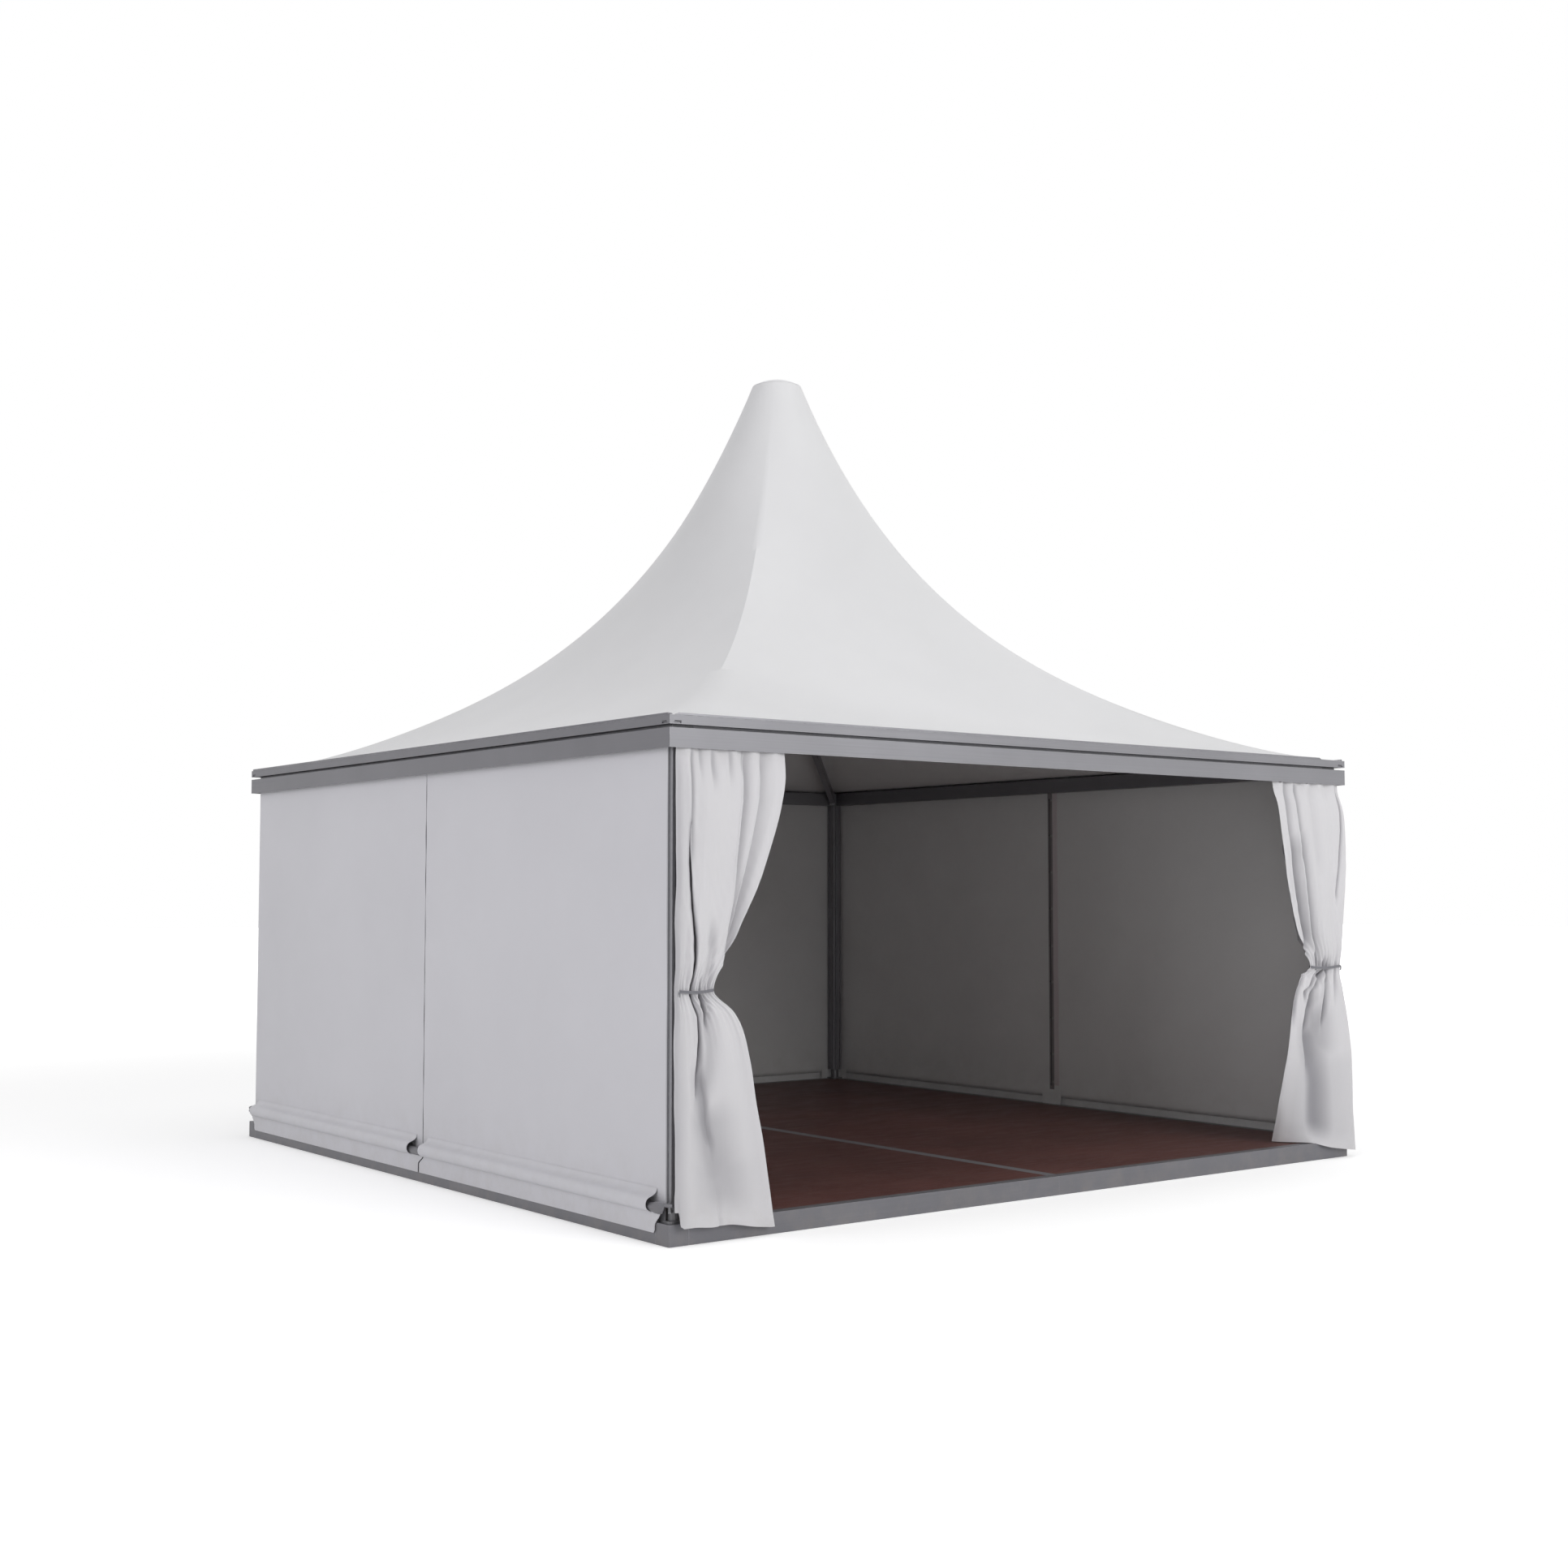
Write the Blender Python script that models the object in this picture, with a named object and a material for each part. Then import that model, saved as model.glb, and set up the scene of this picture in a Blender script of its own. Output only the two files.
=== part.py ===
"""Pagoda tent, 5 x 5 m, with a floor frame, laced walls and two tied-back curtains.

Metres, +Z up. The origin is on the ground at the centre of the tent, and the open front faces -Y.
Left and right are those of a person who stands outside and looks at the open front.
A side piece is drawn on the front side, with X along the side and -Y outwards, and is then turned
a number of quarter turns about Z. A corner piece is drawn at the front left corner and turned alike.
"""
import math

import bmesh
import bpy
from mathutils import Matrix, Vector
from mathutils.geometry import tessellate_polygon

# Clearances
GAP = 0.0003                # between pieces that touch

# Floor frame
FRAME_HALF = 2.500          # centre of the tent to the outer face of the floor frame
FRAME_HEIGHT = 0.100
FRAME_WIDTH = 0.060         # of a beam, across
FRAME_WALL = 0.004
LEDGE_WIDTH = 0.020         # carries the floor boards
LEDGE_THICK = 0.006
CORNER_ARM = 0.110          # each leg of a corner block
CORNER_ROUND = 0.010
BOARD_THICK = 0.018
STRIP_WIDTH = 0.070         # grey joint strip between the two halves of the floor
CROSS_JOIST_WIDTH = 0.060

# Post feet
FLANGE_HALF = 0.050
FLANGE_THICK = 0.010
FLANGE_ROUND = 0.022
STUB_RADIUS = 0.0325
STUB_HEIGHT = 0.065
SPIGOT_LENGTH = 0.120
SPIGOT_PLAY = 0.003
PEG_RADIUS = 0.007
PEG_REACH = 0.057           # corner peg from the post's axis, along each side
PEG_HEIGHT = 0.040
ARM_WIDTH = 0.014
ARM_THICK = 0.010
ARM_RISE = 0.060            # arm's top above the floor frame

# Posts
POST_SIZE = 0.080
POST_SETBACK = 0.030        # outer face behind the floor frame's outer face
POST_BORE = 0.050
POST_ROUND = 0.003
TRACK_FROM_EDGE = 0.020     # keder track from the post's edge
TRACK_MOUTH = 0.005
TRACK_LIP = 0.0025
TRACK_RADIUS = 0.0045
SLOT_LOW = 1.110            # wider place in the track where the keder is fed in
SLOT_HIGH = 1.241
SLOT_WIDTH = 0.011

# Eave beams
EAVE_OUT = 0.015            # fascia's outer face outside the floor frame's
EAVE_TOP = 2.426
BOX_HEIGHT = 0.096
BOX_WALL = 0.004
RAIL_HEIGHT = 0.042
GROOVE_HEIGHT = 0.016
FASCIA_HEIGHT = 0.092
FASCIA_THICK = 0.008
DASH_LENGTH = 0.045
DASH_HEIGHT = 0.006
DASH_DEPTH = 0.006
DASH_FROM_CORNER = 0.020
DASH_ABOVE_RAIL = 0.004

# Corner brackets, rafters and hub
BRACKET_ARM = 0.040         # full section beyond the post's inner face
TONGUE_WIDTH = 0.050
TONGUE_LENGTH = 0.080
SOCKET_STUB = 0.100         # bracket arms inside the eave beams and the post
SOCKET_PLAY = 0.002
RAFTER_WIDTH = 0.040
RAFTER_HEIGHT = 0.060
RAFTER_WALL = 0.003
RAFTER_SLOPE = math.radians(13.6)
RAFTER_FOOT_DROP = 0.048    # rafter's centre line at the tongue, below the eave top
HUB_RADIUS = 0.060
HUB_FLAT = 0.075            # rafter seats from the axis
HUB_HEIGHT = 0.180
HUB_SLIT = 0.006
EAR_REACH = 0.115
EAR_THICK = 0.016
BOLT_RADIUS = 0.006
BOLT_PLAY = 0.0003
BOLT_HEAD = 0.009
BOLT_HEAD_THICK = 0.008
BOLT_FROM_AXIS = 0.093

# Mast and peak
MAST_RADIUS = 0.038
MAST_WALL = 0.004
MAST_BELOW_HUB = 0.120
PEAK_HEIGHT = 4.950         # top of the cap
DOME_RISE = 0.048           # of the cap above the membrane's top edge
SHOULDER_RADIUS = 0.1605
CAP_SKIRT = 0.042
CAP_THICK = 0.003
CROWN_RIM = 0.020           # rim above the crown's plate
CROWN_PLATE = 0.010
CROWN_COLLAR = 0.080
CROWN_WALL = 0.008

# Roof membrane
ROOF_THICK = 0.003
ROOF_PULLS = ((0.251, 0.024), (0.397, 0.190), (0.754, 0.177))   # inner handles of the hip curve
ROOF_ROWS = 16
ROOF_SIDE_STEPS = 8

# Walls
WALL_THICK = 0.003
WALL_OUT = 0.0075           # wall's inner face outside the post's outer face
SEAM_GAP = 0.004            # each panel's edge from the middle of its side
POCKET_RADIUS = 0.035
POCKET_RISE = 0.082         # centre of the pocket above the floor frame
POCKET_FROM_SEAM = 0.045
POCKET_FROM_POST = 0.095    # mouth of the pocket from the post's outer face
FLAP_DROP = 0.048           # flap's hem below the floor frame's top
FLAP_CLEAR = 0.003          # flap outside the floor frame's face
FLAP_FROM_POST = 0.060
BEAD_RADIUS = 0.0038
TUBE_RADIUS = 0.020
TONGUE_TALL = 0.028         # half height of the flattened tube end
TONGUE_THIN = 0.006         # its half thickness
HOOK_TALL = 0.009           # half height of the hook
HOOK_PLAY = 0.0005

# Lacing
LACE_RADIUS = 0.0025
LACE_LOOPS = 8
LACE_BELOW_TOP = 0.065      # its ends from the wall's top edge and from the pocket's centre
LACE_ABOVE_POCKET = 0.038
LACE_SWAY = 0.007

# Curtains
RAIL_SIZE = (0.020, 0.040)
RAIL_WALL = 0.0025
RAIL_SLOT = 0.008
RAIL_OUT = 0.007            # rail's inner face outside the post's outer face
CURTAIN_THICK = 0.0025
HEADER_LOW = 0.008          # header's hanging stretches below the fascia
CURTAIN_EDGE = 0.030
CURTAIN_COLUMNS = 36
ROWS_ABOVE_TIE = 6
ROWS_BELOW_TIE = 5
HOOK_COUNT = 6
TIE_HEIGHT = 0.014
TIE_THICK = 0.003
TIE_PLAY = 0.0006
TIE_ROUND = 0.006
TIED_HALF = 0.012           # the cloth keeps one section this far above and below the tie
HEADER_HEIGHT = EAVE_TOP - RAIL_HEIGHT - GROOVE_HEIGHT - FASCIA_HEIGHT - HEADER_LOW
LEFT_TIE_HEIGHT = 1.155
# Height, inner edge, outer edge, middle's distance from the front, fold depth: the left curtain.
# The edges are measured inwards from CURTAIN_EDGE outside the post's outer face.
LEFT_OUTLINE = (
    (HEADER_HEIGHT, 0.666, 0.040, -0.013, 0.0100),
    (2.090, 0.645, 0.036, 0.004, 0.0220),
    (1.830, 0.560, 0.034, 0.010, 0.0260),
    (1.410, 0.372, 0.038, 0.006, 0.0240),
    (LEFT_TIE_HEIGHT, 0.242, 0.052, -0.001, 0.0220),
    (1.055, 0.342, 0.046, 0.006, 0.0240),
    (0.810, 0.436, 0.037, 0.018, 0.0240),
    (0.460, 0.498, 0.037, 0.024, 0.0220),
    (0.050, 0.574, 0.055, 0.026, 0.0190),
)
LEFT_FOLDS = 5
LEFT_HEM_LOW = 0.040
RIGHT_TIE_HEIGHT = 1.163
# The same for the right curtain, whose outer edge swings round the post
RIGHT_OUTLINE = (
    (HEADER_HEIGHT, 0.646, 0.030, -0.013, 0.0100),
    (2.145, 0.629, -0.006, 0.004, 0.0220),
    (1.805, 0.564, -0.020, 0.010, 0.0260),
    (1.366, 0.450, 0.022, 0.006, 0.0240),
    (RIGHT_TIE_HEIGHT, 0.356, 0.036, -0.001, 0.0220),
    (1.050, 0.478, 0.036, 0.006, 0.0240),
    (0.760, 0.505, -0.025, 0.022, 0.0200),
    (0.460, 0.502, -0.036, 0.028, 0.0170),
    (0.050, 0.478, -0.045, 0.032, 0.0130),
)
RIGHT_FOLDS = 5
RIGHT_HEM_LOW = 0.036
RIGHT_HEM_REACH = 0.225     # how far its inner edge stands inside the front
FLOOR_CLEAR = 0.006         # its hem above the floor

# Worked out from the sizes above
EAVE_HALF = FRAME_HALF + EAVE_OUT
ROOF_EDGE_HEIGHT = EAVE_TOP + ROOF_THICK + GAP
SHOULDER_HEIGHT = PEAK_HEIGHT - DOME_RISE
CAP_RADIUS = SHOULDER_RADIUS - ROOF_THICK - GAP
ARM_TOP = FRAME_HEIGHT + ARM_RISE
POCKET_HEIGHT = FRAME_HEIGHT + POCKET_RISE
FLAP_LOW = FRAME_HEIGHT - FLAP_DROP
POST_OUT = FRAME_HALF - POST_SETBACK
POST_IN = POST_OUT - POST_SIZE
POST_AXIS = POST_OUT - POST_SIZE / 2
LEDGE_TOP = FRAME_HEIGHT - BOARD_THICK - GAP
INNER_HALF = FRAME_HALF - FRAME_WIDTH
FLANGE_TOP = FRAME_HEIGHT + GAP + FLANGE_THICK
POST_LOW = FLANGE_TOP + STUB_HEIGHT + GAP
BOX_LOW = EAVE_TOP - BOX_HEIGHT
POST_HIGH = BOX_LOW
RAIL_LOW = EAVE_TOP - RAIL_HEIGHT
WEB_TOP = RAIL_LOW - GROOVE_HEIGHT
WEB_LOW = WEB_TOP - FASCIA_THICK
FASCIA_LOW = WEB_TOP - FASCIA_HEIGHT
TONGUE_END = POST_IN * math.sqrt(2) - TONGUE_LENGTH
RAFTER_FOOT = EAVE_TOP - RAFTER_FOOT_DROP
HUB_MIDDLE = RAFTER_FOOT + (TONGUE_END - HUB_FLAT) * math.tan(RAFTER_SLOPE)
WALL_IN = POST_OUT + WALL_OUT
WALL_FACE = WALL_IN + WALL_THICK
WALL_HIGH = WEB_LOW - GAP
POCKET_OUT = WALL_IN + POCKET_RADIUS
POCKET_BORE = POCKET_RADIUS - WALL_THICK
TUBE_HEIGHT = POCKET_HEIGHT - POCKET_BORE * math.cos(math.pi / 16) + TUBE_RADIUS + GAP
PEG_AT = POST_AXIS + PEG_REACH
RAIL_BOTTOM = WEB_LOW - GAP - RAIL_SIZE[1]


def clear_scene():
    for old in list(bpy.data.objects):
        bpy.data.objects.remove(old, do_unlink=True)


def make_material(name, color, roughness, metallic=0.0):
    material = bpy.data.materials.new(name)
    material.use_nodes = True
    shader = material.node_tree.nodes["Principled BSDF"]
    shader.inputs["Base Color"].default_value = (*color, 1.0)
    shader.inputs["Roughness"].default_value = roughness
    shader.inputs["Metallic"].default_value = metallic
    material.diffuse_color = (*color, 1.0)
    return material


def make_mesh(name, points, faces):
    mesh = bpy.data.meshes.new(name)
    mesh.from_pydata([tuple(point) for point in points], [], faces)
    shape = bmesh.new()
    shape.from_mesh(mesh)
    bmesh.ops.recalc_face_normals(shape, faces=shape.faces)
    shape.to_mesh(mesh)
    shape.free()
    return mesh


def add_object(name, mesh, material, parent=None, turns=0.0):
    piece = bpy.data.objects.new(name, mesh)
    bpy.context.collection.objects.link(piece)
    mesh.materials.clear()
    mesh.materials.append(material)
    piece.rotation_euler[2] = turns * math.pi / 2
    piece.parent = parent
    return piece


def swept(name, outline, holes, stations, place):
    """A solid whose section, with its holes, stands at each station; place gives its points."""
    loops = [outline] + list(holes)
    section = [point for loop in loops for point in loop]
    count = len(section)
    points = [place(a, b, s) for s in stations for a, b in section]
    flat = [[Vector((a, b, 0.0)) for a, b in loop] for loop in loops]
    cap = tessellate_polygon(flat)
    last = (len(stations) - 1) * count
    faces = [tuple(corner) for corner in cap]
    faces += [tuple(last + corner for corner in reversed(face)) for face in cap]
    for row in range(len(stations) - 1):
        start = 0
        for loop in loops:
            for i in range(len(loop)):
                a = row * count + start + i
                b = row * count + start + (i + 1) % len(loop)
                faces.append((a, b, b + count, a + count))
            start += len(loop)
    return make_mesh(name, points, faces)


def upright(name, outline, holes, low, high):
    return swept(name, outline, holes, (low, high), lambda a, b, s: (a, b, s))


def along_side(name, outline, holes, start, end):
    """A straight piece of a side: the section holds distance from the centre and height."""
    return swept(name, outline, holes, (start, end), lambda n, z, s: (s, -n, z))


def box(name, low, high):
    outline = ((low[0], low[1]), (high[0], low[1]), (high[0], high[1]), (low[0], high[1]))
    return upright(name, outline, (), low[2], high[2])


def rectangle(a_low, b_low, a_high, b_high):
    return [(a_low, b_low), (a_high, b_low), (a_high, b_high), (a_low, b_high)]


def circle(radius, steps, a=0.0, b=0.0, turn=0.5):
    angles = [2 * math.pi * (i + turn) / steps for i in range(steps)]
    return [(a + radius * math.cos(t), b + radius * math.sin(t)) for t in angles]


def round_oblong(half_x, half_y, radius, centre, steps=3):
    """An oblong with round corners."""
    points = []
    for quarter in range(4):
        middle = math.pi / 4 + quarter * math.pi / 2
        corner_x = centre[0] + math.copysign(half_x - radius, math.cos(middle))
        corner_y = centre[1] + math.copysign(half_y - radius, math.sin(middle))
        for i in range(steps + 1):
            angle = quarter * math.pi / 2 + i * math.pi / 2 / steps
            points.append((corner_x + radius * math.cos(angle), corner_y + radius * math.sin(angle)))
    return points


def turned(name, profile, steps):
    """A solid turned about Z; profile is a closed loop of radius and height."""
    points = []
    rings = []
    for radius, height in profile:
        if radius == 0.0:
            rings.append([len(points)] * steps)
            points.append((0.0, 0.0, height))
            continue
        rings.append(list(range(len(points), len(points) + steps)))
        for i in range(steps):
            angle = 2 * math.pi * i / steps
            points.append((radius * math.cos(angle), radius * math.sin(angle), height))
    faces = []
    for i, ring in enumerate(rings):
        other = rings[(i + 1) % len(rings)]
        if ring[0] == ring[1] and other[0] == other[1]:
            continue
        for j in range(steps):
            k = (j + 1) % steps
            face = (ring[j], ring[k], other[k], other[j])
            faces.append(tuple(dict.fromkeys(face)))
    return make_mesh(name, points, faces)


def combine(body, tools, operation):
    """The body's mesh after a Boolean with each tool; the tools are used up."""
    blank = bpy.data.objects.new("blank", body)
    bpy.context.collection.objects.link(blank)
    helpers = []
    for tool in tools:
        helper = bpy.data.objects.new("tool", tool)
        bpy.context.collection.objects.link(helper)
        step = blank.modifiers.new("step", "BOOLEAN")
        step.operation = operation
        step.solver = "EXACT"
        step.object = helper
        helpers.append(helper)
    graph = bpy.context.evaluated_depsgraph_get()
    mesh = bpy.data.meshes.new_from_object(blank.evaluated_get(graph))
    mesh.name = body.name
    for helper in helpers + [blank]:
        bpy.data.objects.remove(helper, do_unlink=True)
    return mesh


def mirrored(mesh, axis):
    """A copy of the mesh on the other side of the plane across the axis."""
    copy = mesh.copy()
    scale = [1.0, 1.0, 1.0]
    scale[axis] = -1.0
    copy.transform(Matrix.Diagonal((*scale, 1.0)))
    copy.flip_normals()
    return copy


def smooth(piece, angle=35.0):
    piece.data.shade_smooth()
    piece.data.set_sharp_from_angle(angle=math.radians(angle))


def curve_through(rows, height):
    """Each column of the rows at a height, on a smooth curve through them (Catmull-Rom)."""
    last = len(rows) - 2
    i = 0
    while i < last and height < rows[i + 1][0]:
        i += 1
    p0 = rows[max(i - 1, 0)]
    p1 = rows[i]
    p2 = rows[i + 1]
    p3 = rows[min(i + 2, len(rows) - 1)]
    t = min(max((height - p1[0]) / (p2[0] - p1[0]), 0.0), 1.0)
    values = []
    for k in range(1, len(p1)):
        slope1 = (p2[k] - p0[k]) / (p2[0] - p0[0]) * (p2[0] - p1[0])
        slope2 = (p3[k] - p1[k]) / (p3[0] - p1[0]) * (p2[0] - p1[0])
        values.append(
            (2 * t**3 - 3 * t**2 + 1) * p1[k] + (t**3 - 2 * t**2 + t) * slope1
            + (3 * t**2 - 2 * t**3) * p2[k] + (t**3 - t**2) * slope2
        )
    return values


def beam_section(with_second_ledge=False, middle=None):
    """Floor frame section: a box tube with a ledge for the boards, and its bore."""
    if middle is None:
        out = FRAME_HALF
        width = FRAME_WIDTH
    else:
        out = middle + STRIP_WIDTH / 2
        width = STRIP_WIDTH
    inside = out - width
    outline = [(out, 0.0)]
    if with_second_ledge:
        outline += [
            (out, LEDGE_TOP - LEDGE_THICK), (out + LEDGE_WIDTH, LEDGE_TOP - LEDGE_THICK),
            (out + LEDGE_WIDTH, LEDGE_TOP), (out, LEDGE_TOP),
        ]
    outline += [
        (out, FRAME_HEIGHT), (inside, FRAME_HEIGHT), (inside, LEDGE_TOP),
        (inside - LEDGE_WIDTH, LEDGE_TOP), (inside - LEDGE_WIDTH, LEDGE_TOP - LEDGE_THICK),
        (inside, LEDGE_TOP - LEDGE_THICK), (inside, 0.0),
    ]
    bore = rectangle(inside + FRAME_WALL, FRAME_WALL, out - FRAME_WALL, FRAME_HEIGHT - FRAME_WALL)
    return outline, bore


def make_floor_frame(metal):
    outline, bore = beam_section()
    end = FRAME_HALF - CORNER_ARM - GAP
    half = along_side("half_beam", outline, (bore,), GAP / 2, end)
    full = along_side("side_beam", outline, (bore,), -end, end)
    add_object("base_beam_front_right", half, metal)
    add_object("base_beam_front_left", mirrored(half, 0), metal)
    add_object("base_beam_right", full, metal, turns=1)
    add_object("base_beam_back", full.copy(), metal, turns=2)
    add_object("base_beam_left", full.copy(), metal, turns=3)

    corner = [
        (-FRAME_HALF + CORNER_ARM, -FRAME_HALF), (-FRAME_HALF + CORNER_ARM, -INNER_HALF),
        (-INNER_HALF, -INNER_HALF), (-INNER_HALF, -FRAME_HALF + CORNER_ARM),
        (-FRAME_HALF, -FRAME_HALF + CORNER_ARM),
    ]
    centre = -FRAME_HALF + CORNER_ROUND
    for i in range(5):
        angle = math.pi + i * math.pi / 2 / 4
        x = centre + CORNER_ROUND * math.cos(angle)
        y = centre + CORNER_ROUND * math.sin(angle)
        corner.append((x, y))
    block = upright("corner_block", corner, (), 0.0, FRAME_HEIGHT)
    for turns, place in enumerate(("front_left", "front_right", "back_right", "back_left")):
        piece = add_object("base_corner_" + place, block.copy(), metal, turns=turns)
        smooth(piece)


def make_floor(metal, board):
    """The joint strip hangs with its ends on the beams' ledges; the cross joists lie under it."""
    outline, bore = beam_section(with_second_ledge=True, middle=0.0)
    end = INNER_HALF - GAP
    strip = swept("strip", outline, (bore,), (-end, end), lambda n, z, s: (n, s, z))
    reach = STRIP_WIDTH
    cuts = []
    for sign in (-1, 1):
        near = sign * (INNER_HALF - LEDGE_WIDTH - GAP)
        far = sign * FRAME_HALF
        cuts.append(box("cut", (-reach, min(near, far), -reach), (reach, max(near, far), LEDGE_TOP + GAP)))
    strip = combine(strip, cuts, "DIFFERENCE")
    add_object("floor_joist_centre", strip, metal)

    start = STRIP_WIDTH / 2 + LEDGE_WIDTH + GAP
    stop = INNER_HALF - LEDGE_WIDTH - GAP
    half = CROSS_JOIST_WIDTH / 2
    outer = rectangle(-half, 0.0, half, LEDGE_TOP)
    inner = rectangle(-half + FRAME_WALL, FRAME_WALL, half - FRAME_WALL, LEDGE_TOP - FRAME_WALL)
    for name, sign in (("right", 1), ("left", -1)):
        ends = sorted((sign * start, sign * stop))
        joist = swept("joist", outer, (inner,), ends, lambda n, z, s: (s, n, z))
        add_object("floor_joist_" + name, joist, metal)

    near = STRIP_WIDTH / 2 + GAP
    far = INNER_HALF - GAP
    notch = POST_AXIS - FLANGE_HALF - GAP
    outline = [(near, -far), (notch, -far), (notch, -notch), (far, -notch),
               (far, notch), (notch, notch), (notch, far), (near, far)]
    panel = upright("board", outline, (), FRAME_HEIGHT - BOARD_THICK, FRAME_HEIGHT)
    add_object("floor_board_right", panel, board)
    add_object("floor_board_left", mirrored(panel, 0), board)


def post_section():
    """Post outline about its own axis, with two keder tracks in each face."""
    half = POST_SIZE / 2
    deep = half - TRACK_LIP - TRACK_RADIUS * 0.9
    outline = []
    for quarter in range(4):
        turn = Matrix.Rotation(quarter * math.pi / 2, 2)
        face = [(half, -half + POST_ROUND)]
        for middle in (-half + TRACK_FROM_EDGE, half - TRACK_FROM_EDGE):
            mouth = TRACK_MOUTH / 2
            face += [(half, middle - mouth), (half - TRACK_LIP, middle - mouth)]
            for i in range(5):
                angle = math.radians(-50 - i * 260 / 4)
                face.append((deep + TRACK_RADIUS * math.cos(angle), middle + TRACK_RADIUS * math.sin(angle)))
            face += [(half - TRACK_LIP, middle + mouth), (half, middle + mouth)]
        face.append((half, half - POST_ROUND))
        outline += [tuple(turn @ Vector(point)) for point in face]
    bore = rectangle(-POST_BORE / 2, -POST_BORE / 2, POST_BORE / 2, POST_BORE / 2)
    return outline, bore


def make_posts(metal):
    outline, bore = post_section()
    outline = [(a - POST_AXIS, b - POST_AXIS) for a, b in outline]
    bore = [(a - POST_AXIS, b - POST_AXIS) for a, b in bore]
    post = upright("post", outline, (bore,), POST_LOW, POST_HIGH)
    cuts = []
    track = -POST_OUT + TRACK_FROM_EDGE
    wide = SLOT_WIDTH / 2
    depth = TRACK_LIP + TRACK_RADIUS
    face = -POST_OUT
    cuts.append(box("cut", (track - wide, face - depth, SLOT_LOW), (track + wide, face + depth, SLOT_HIGH)))
    cuts.append(box("cut", (face - depth, track - wide, SLOT_LOW), (face + depth, track + wide, SLOT_HIGH)))
    post = combine(post, cuts, "DIFFERENCE")
    for turns, place in enumerate(("front_left", "front_right", "back_right", "back_left")):
        add_object("post_" + place, post.copy(), metal, turns=turns)


def foot_mesh():
    """Flange, stub and spigot of one post, with an arm that carries the corner peg."""
    axis = -POST_AXIS
    plate = upright("foot", round_oblong(FLANGE_HALF, FLANGE_HALF, FLANGE_ROUND, (axis, axis)), (),
                    FRAME_HEIGHT + GAP, FLANGE_TOP)
    stub_top = FLANGE_TOP + STUB_HEIGHT
    sunk = FLANGE_THICK / 2
    half = POST_BORE / 2 - SPIGOT_PLAY
    side = ARM_WIDTH / 2 / math.sqrt(2)
    arm = [(axis + side, axis - side), (axis - side, axis + side),
           (-PEG_AT - side, -PEG_AT + side), (-PEG_AT + side, -PEG_AT - side)]
    extra = [
        upright("stub", circle(STUB_RADIUS, 18, axis, axis), (), FLANGE_TOP - sunk, stub_top),
        box("spigot", (axis - half, axis - half, stub_top - sunk),
            (axis + half, axis + half, stub_top + SPIGOT_LENGTH)),
        upright("arm", arm, (), ARM_TOP - ARM_THICK, ARM_TOP),
        upright("peg", circle(PEG_RADIUS, 10, -PEG_AT, -PEG_AT), (), ARM_TOP - sunk, ARM_TOP + PEG_HEIGHT),
    ]
    return combine(plate, extra, "UNION")


def make_post_feet(metal):
    foot = foot_mesh()
    for turns, place in enumerate(("front_left", "front_right", "back_right", "back_left")):
        piece = add_object("post_foot_" + place, foot.copy(), metal, turns=turns)
        smooth(piece)


def make_eaves(metal):
    """Box tube in line with the posts, with a rail, an open groove and a fascia outside it."""
    outline = [
        (POST_IN, BOX_LOW), (POST_OUT, BOX_LOW), (POST_OUT, WEB_LOW),
        (EAVE_HALF - FASCIA_THICK, WEB_LOW), (EAVE_HALF - FASCIA_THICK, FASCIA_LOW),
        (EAVE_HALF, FASCIA_LOW), (EAVE_HALF, WEB_TOP), (POST_OUT, WEB_TOP), (POST_OUT, RAIL_LOW),
        (EAVE_HALF, RAIL_LOW), (EAVE_HALF, EAVE_TOP), (POST_IN, EAVE_TOP),
    ]
    bore = rectangle(POST_IN + BOX_WALL, BOX_LOW + BOX_WALL, POST_OUT - BOX_WALL, EAVE_TOP - BOX_WALL)
    beam = swept("eave_beam", outline, (bore,), (-1, 1), lambda n, z, s: (s * (n - GAP), -n, z))
    cuts = []
    for sign in (-1, 1):
        xs = sorted((sign * (POST_IN - BRACKET_ARM - GAP), sign * (EAVE_HALF + BOX_WALL)))
        cuts.append(box("cut", (xs[0], -POST_OUT - GAP, BOX_LOW - BOX_WALL),
                        (xs[1], -POST_IN + BOX_WALL, EAVE_TOP + BOX_WALL)))
        dash = sorted((sign * (EAVE_HALF - DASH_FROM_CORNER),
                       sign * (EAVE_HALF - DASH_FROM_CORNER - DASH_LENGTH)))
        low = RAIL_LOW + DASH_ABOVE_RAIL
        cuts.append(box("cut", (dash[0], -EAVE_HALF - DASH_DEPTH, low),
                        (dash[1], -EAVE_HALF + DASH_DEPTH, low + DASH_HEIGHT)))
    beam = combine(beam, cuts, "DIFFERENCE")
    for turns, place in enumerate(("front", "right", "back", "left")):
        add_object("eave_beam_" + place, beam.copy(), metal, turns=turns)


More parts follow.
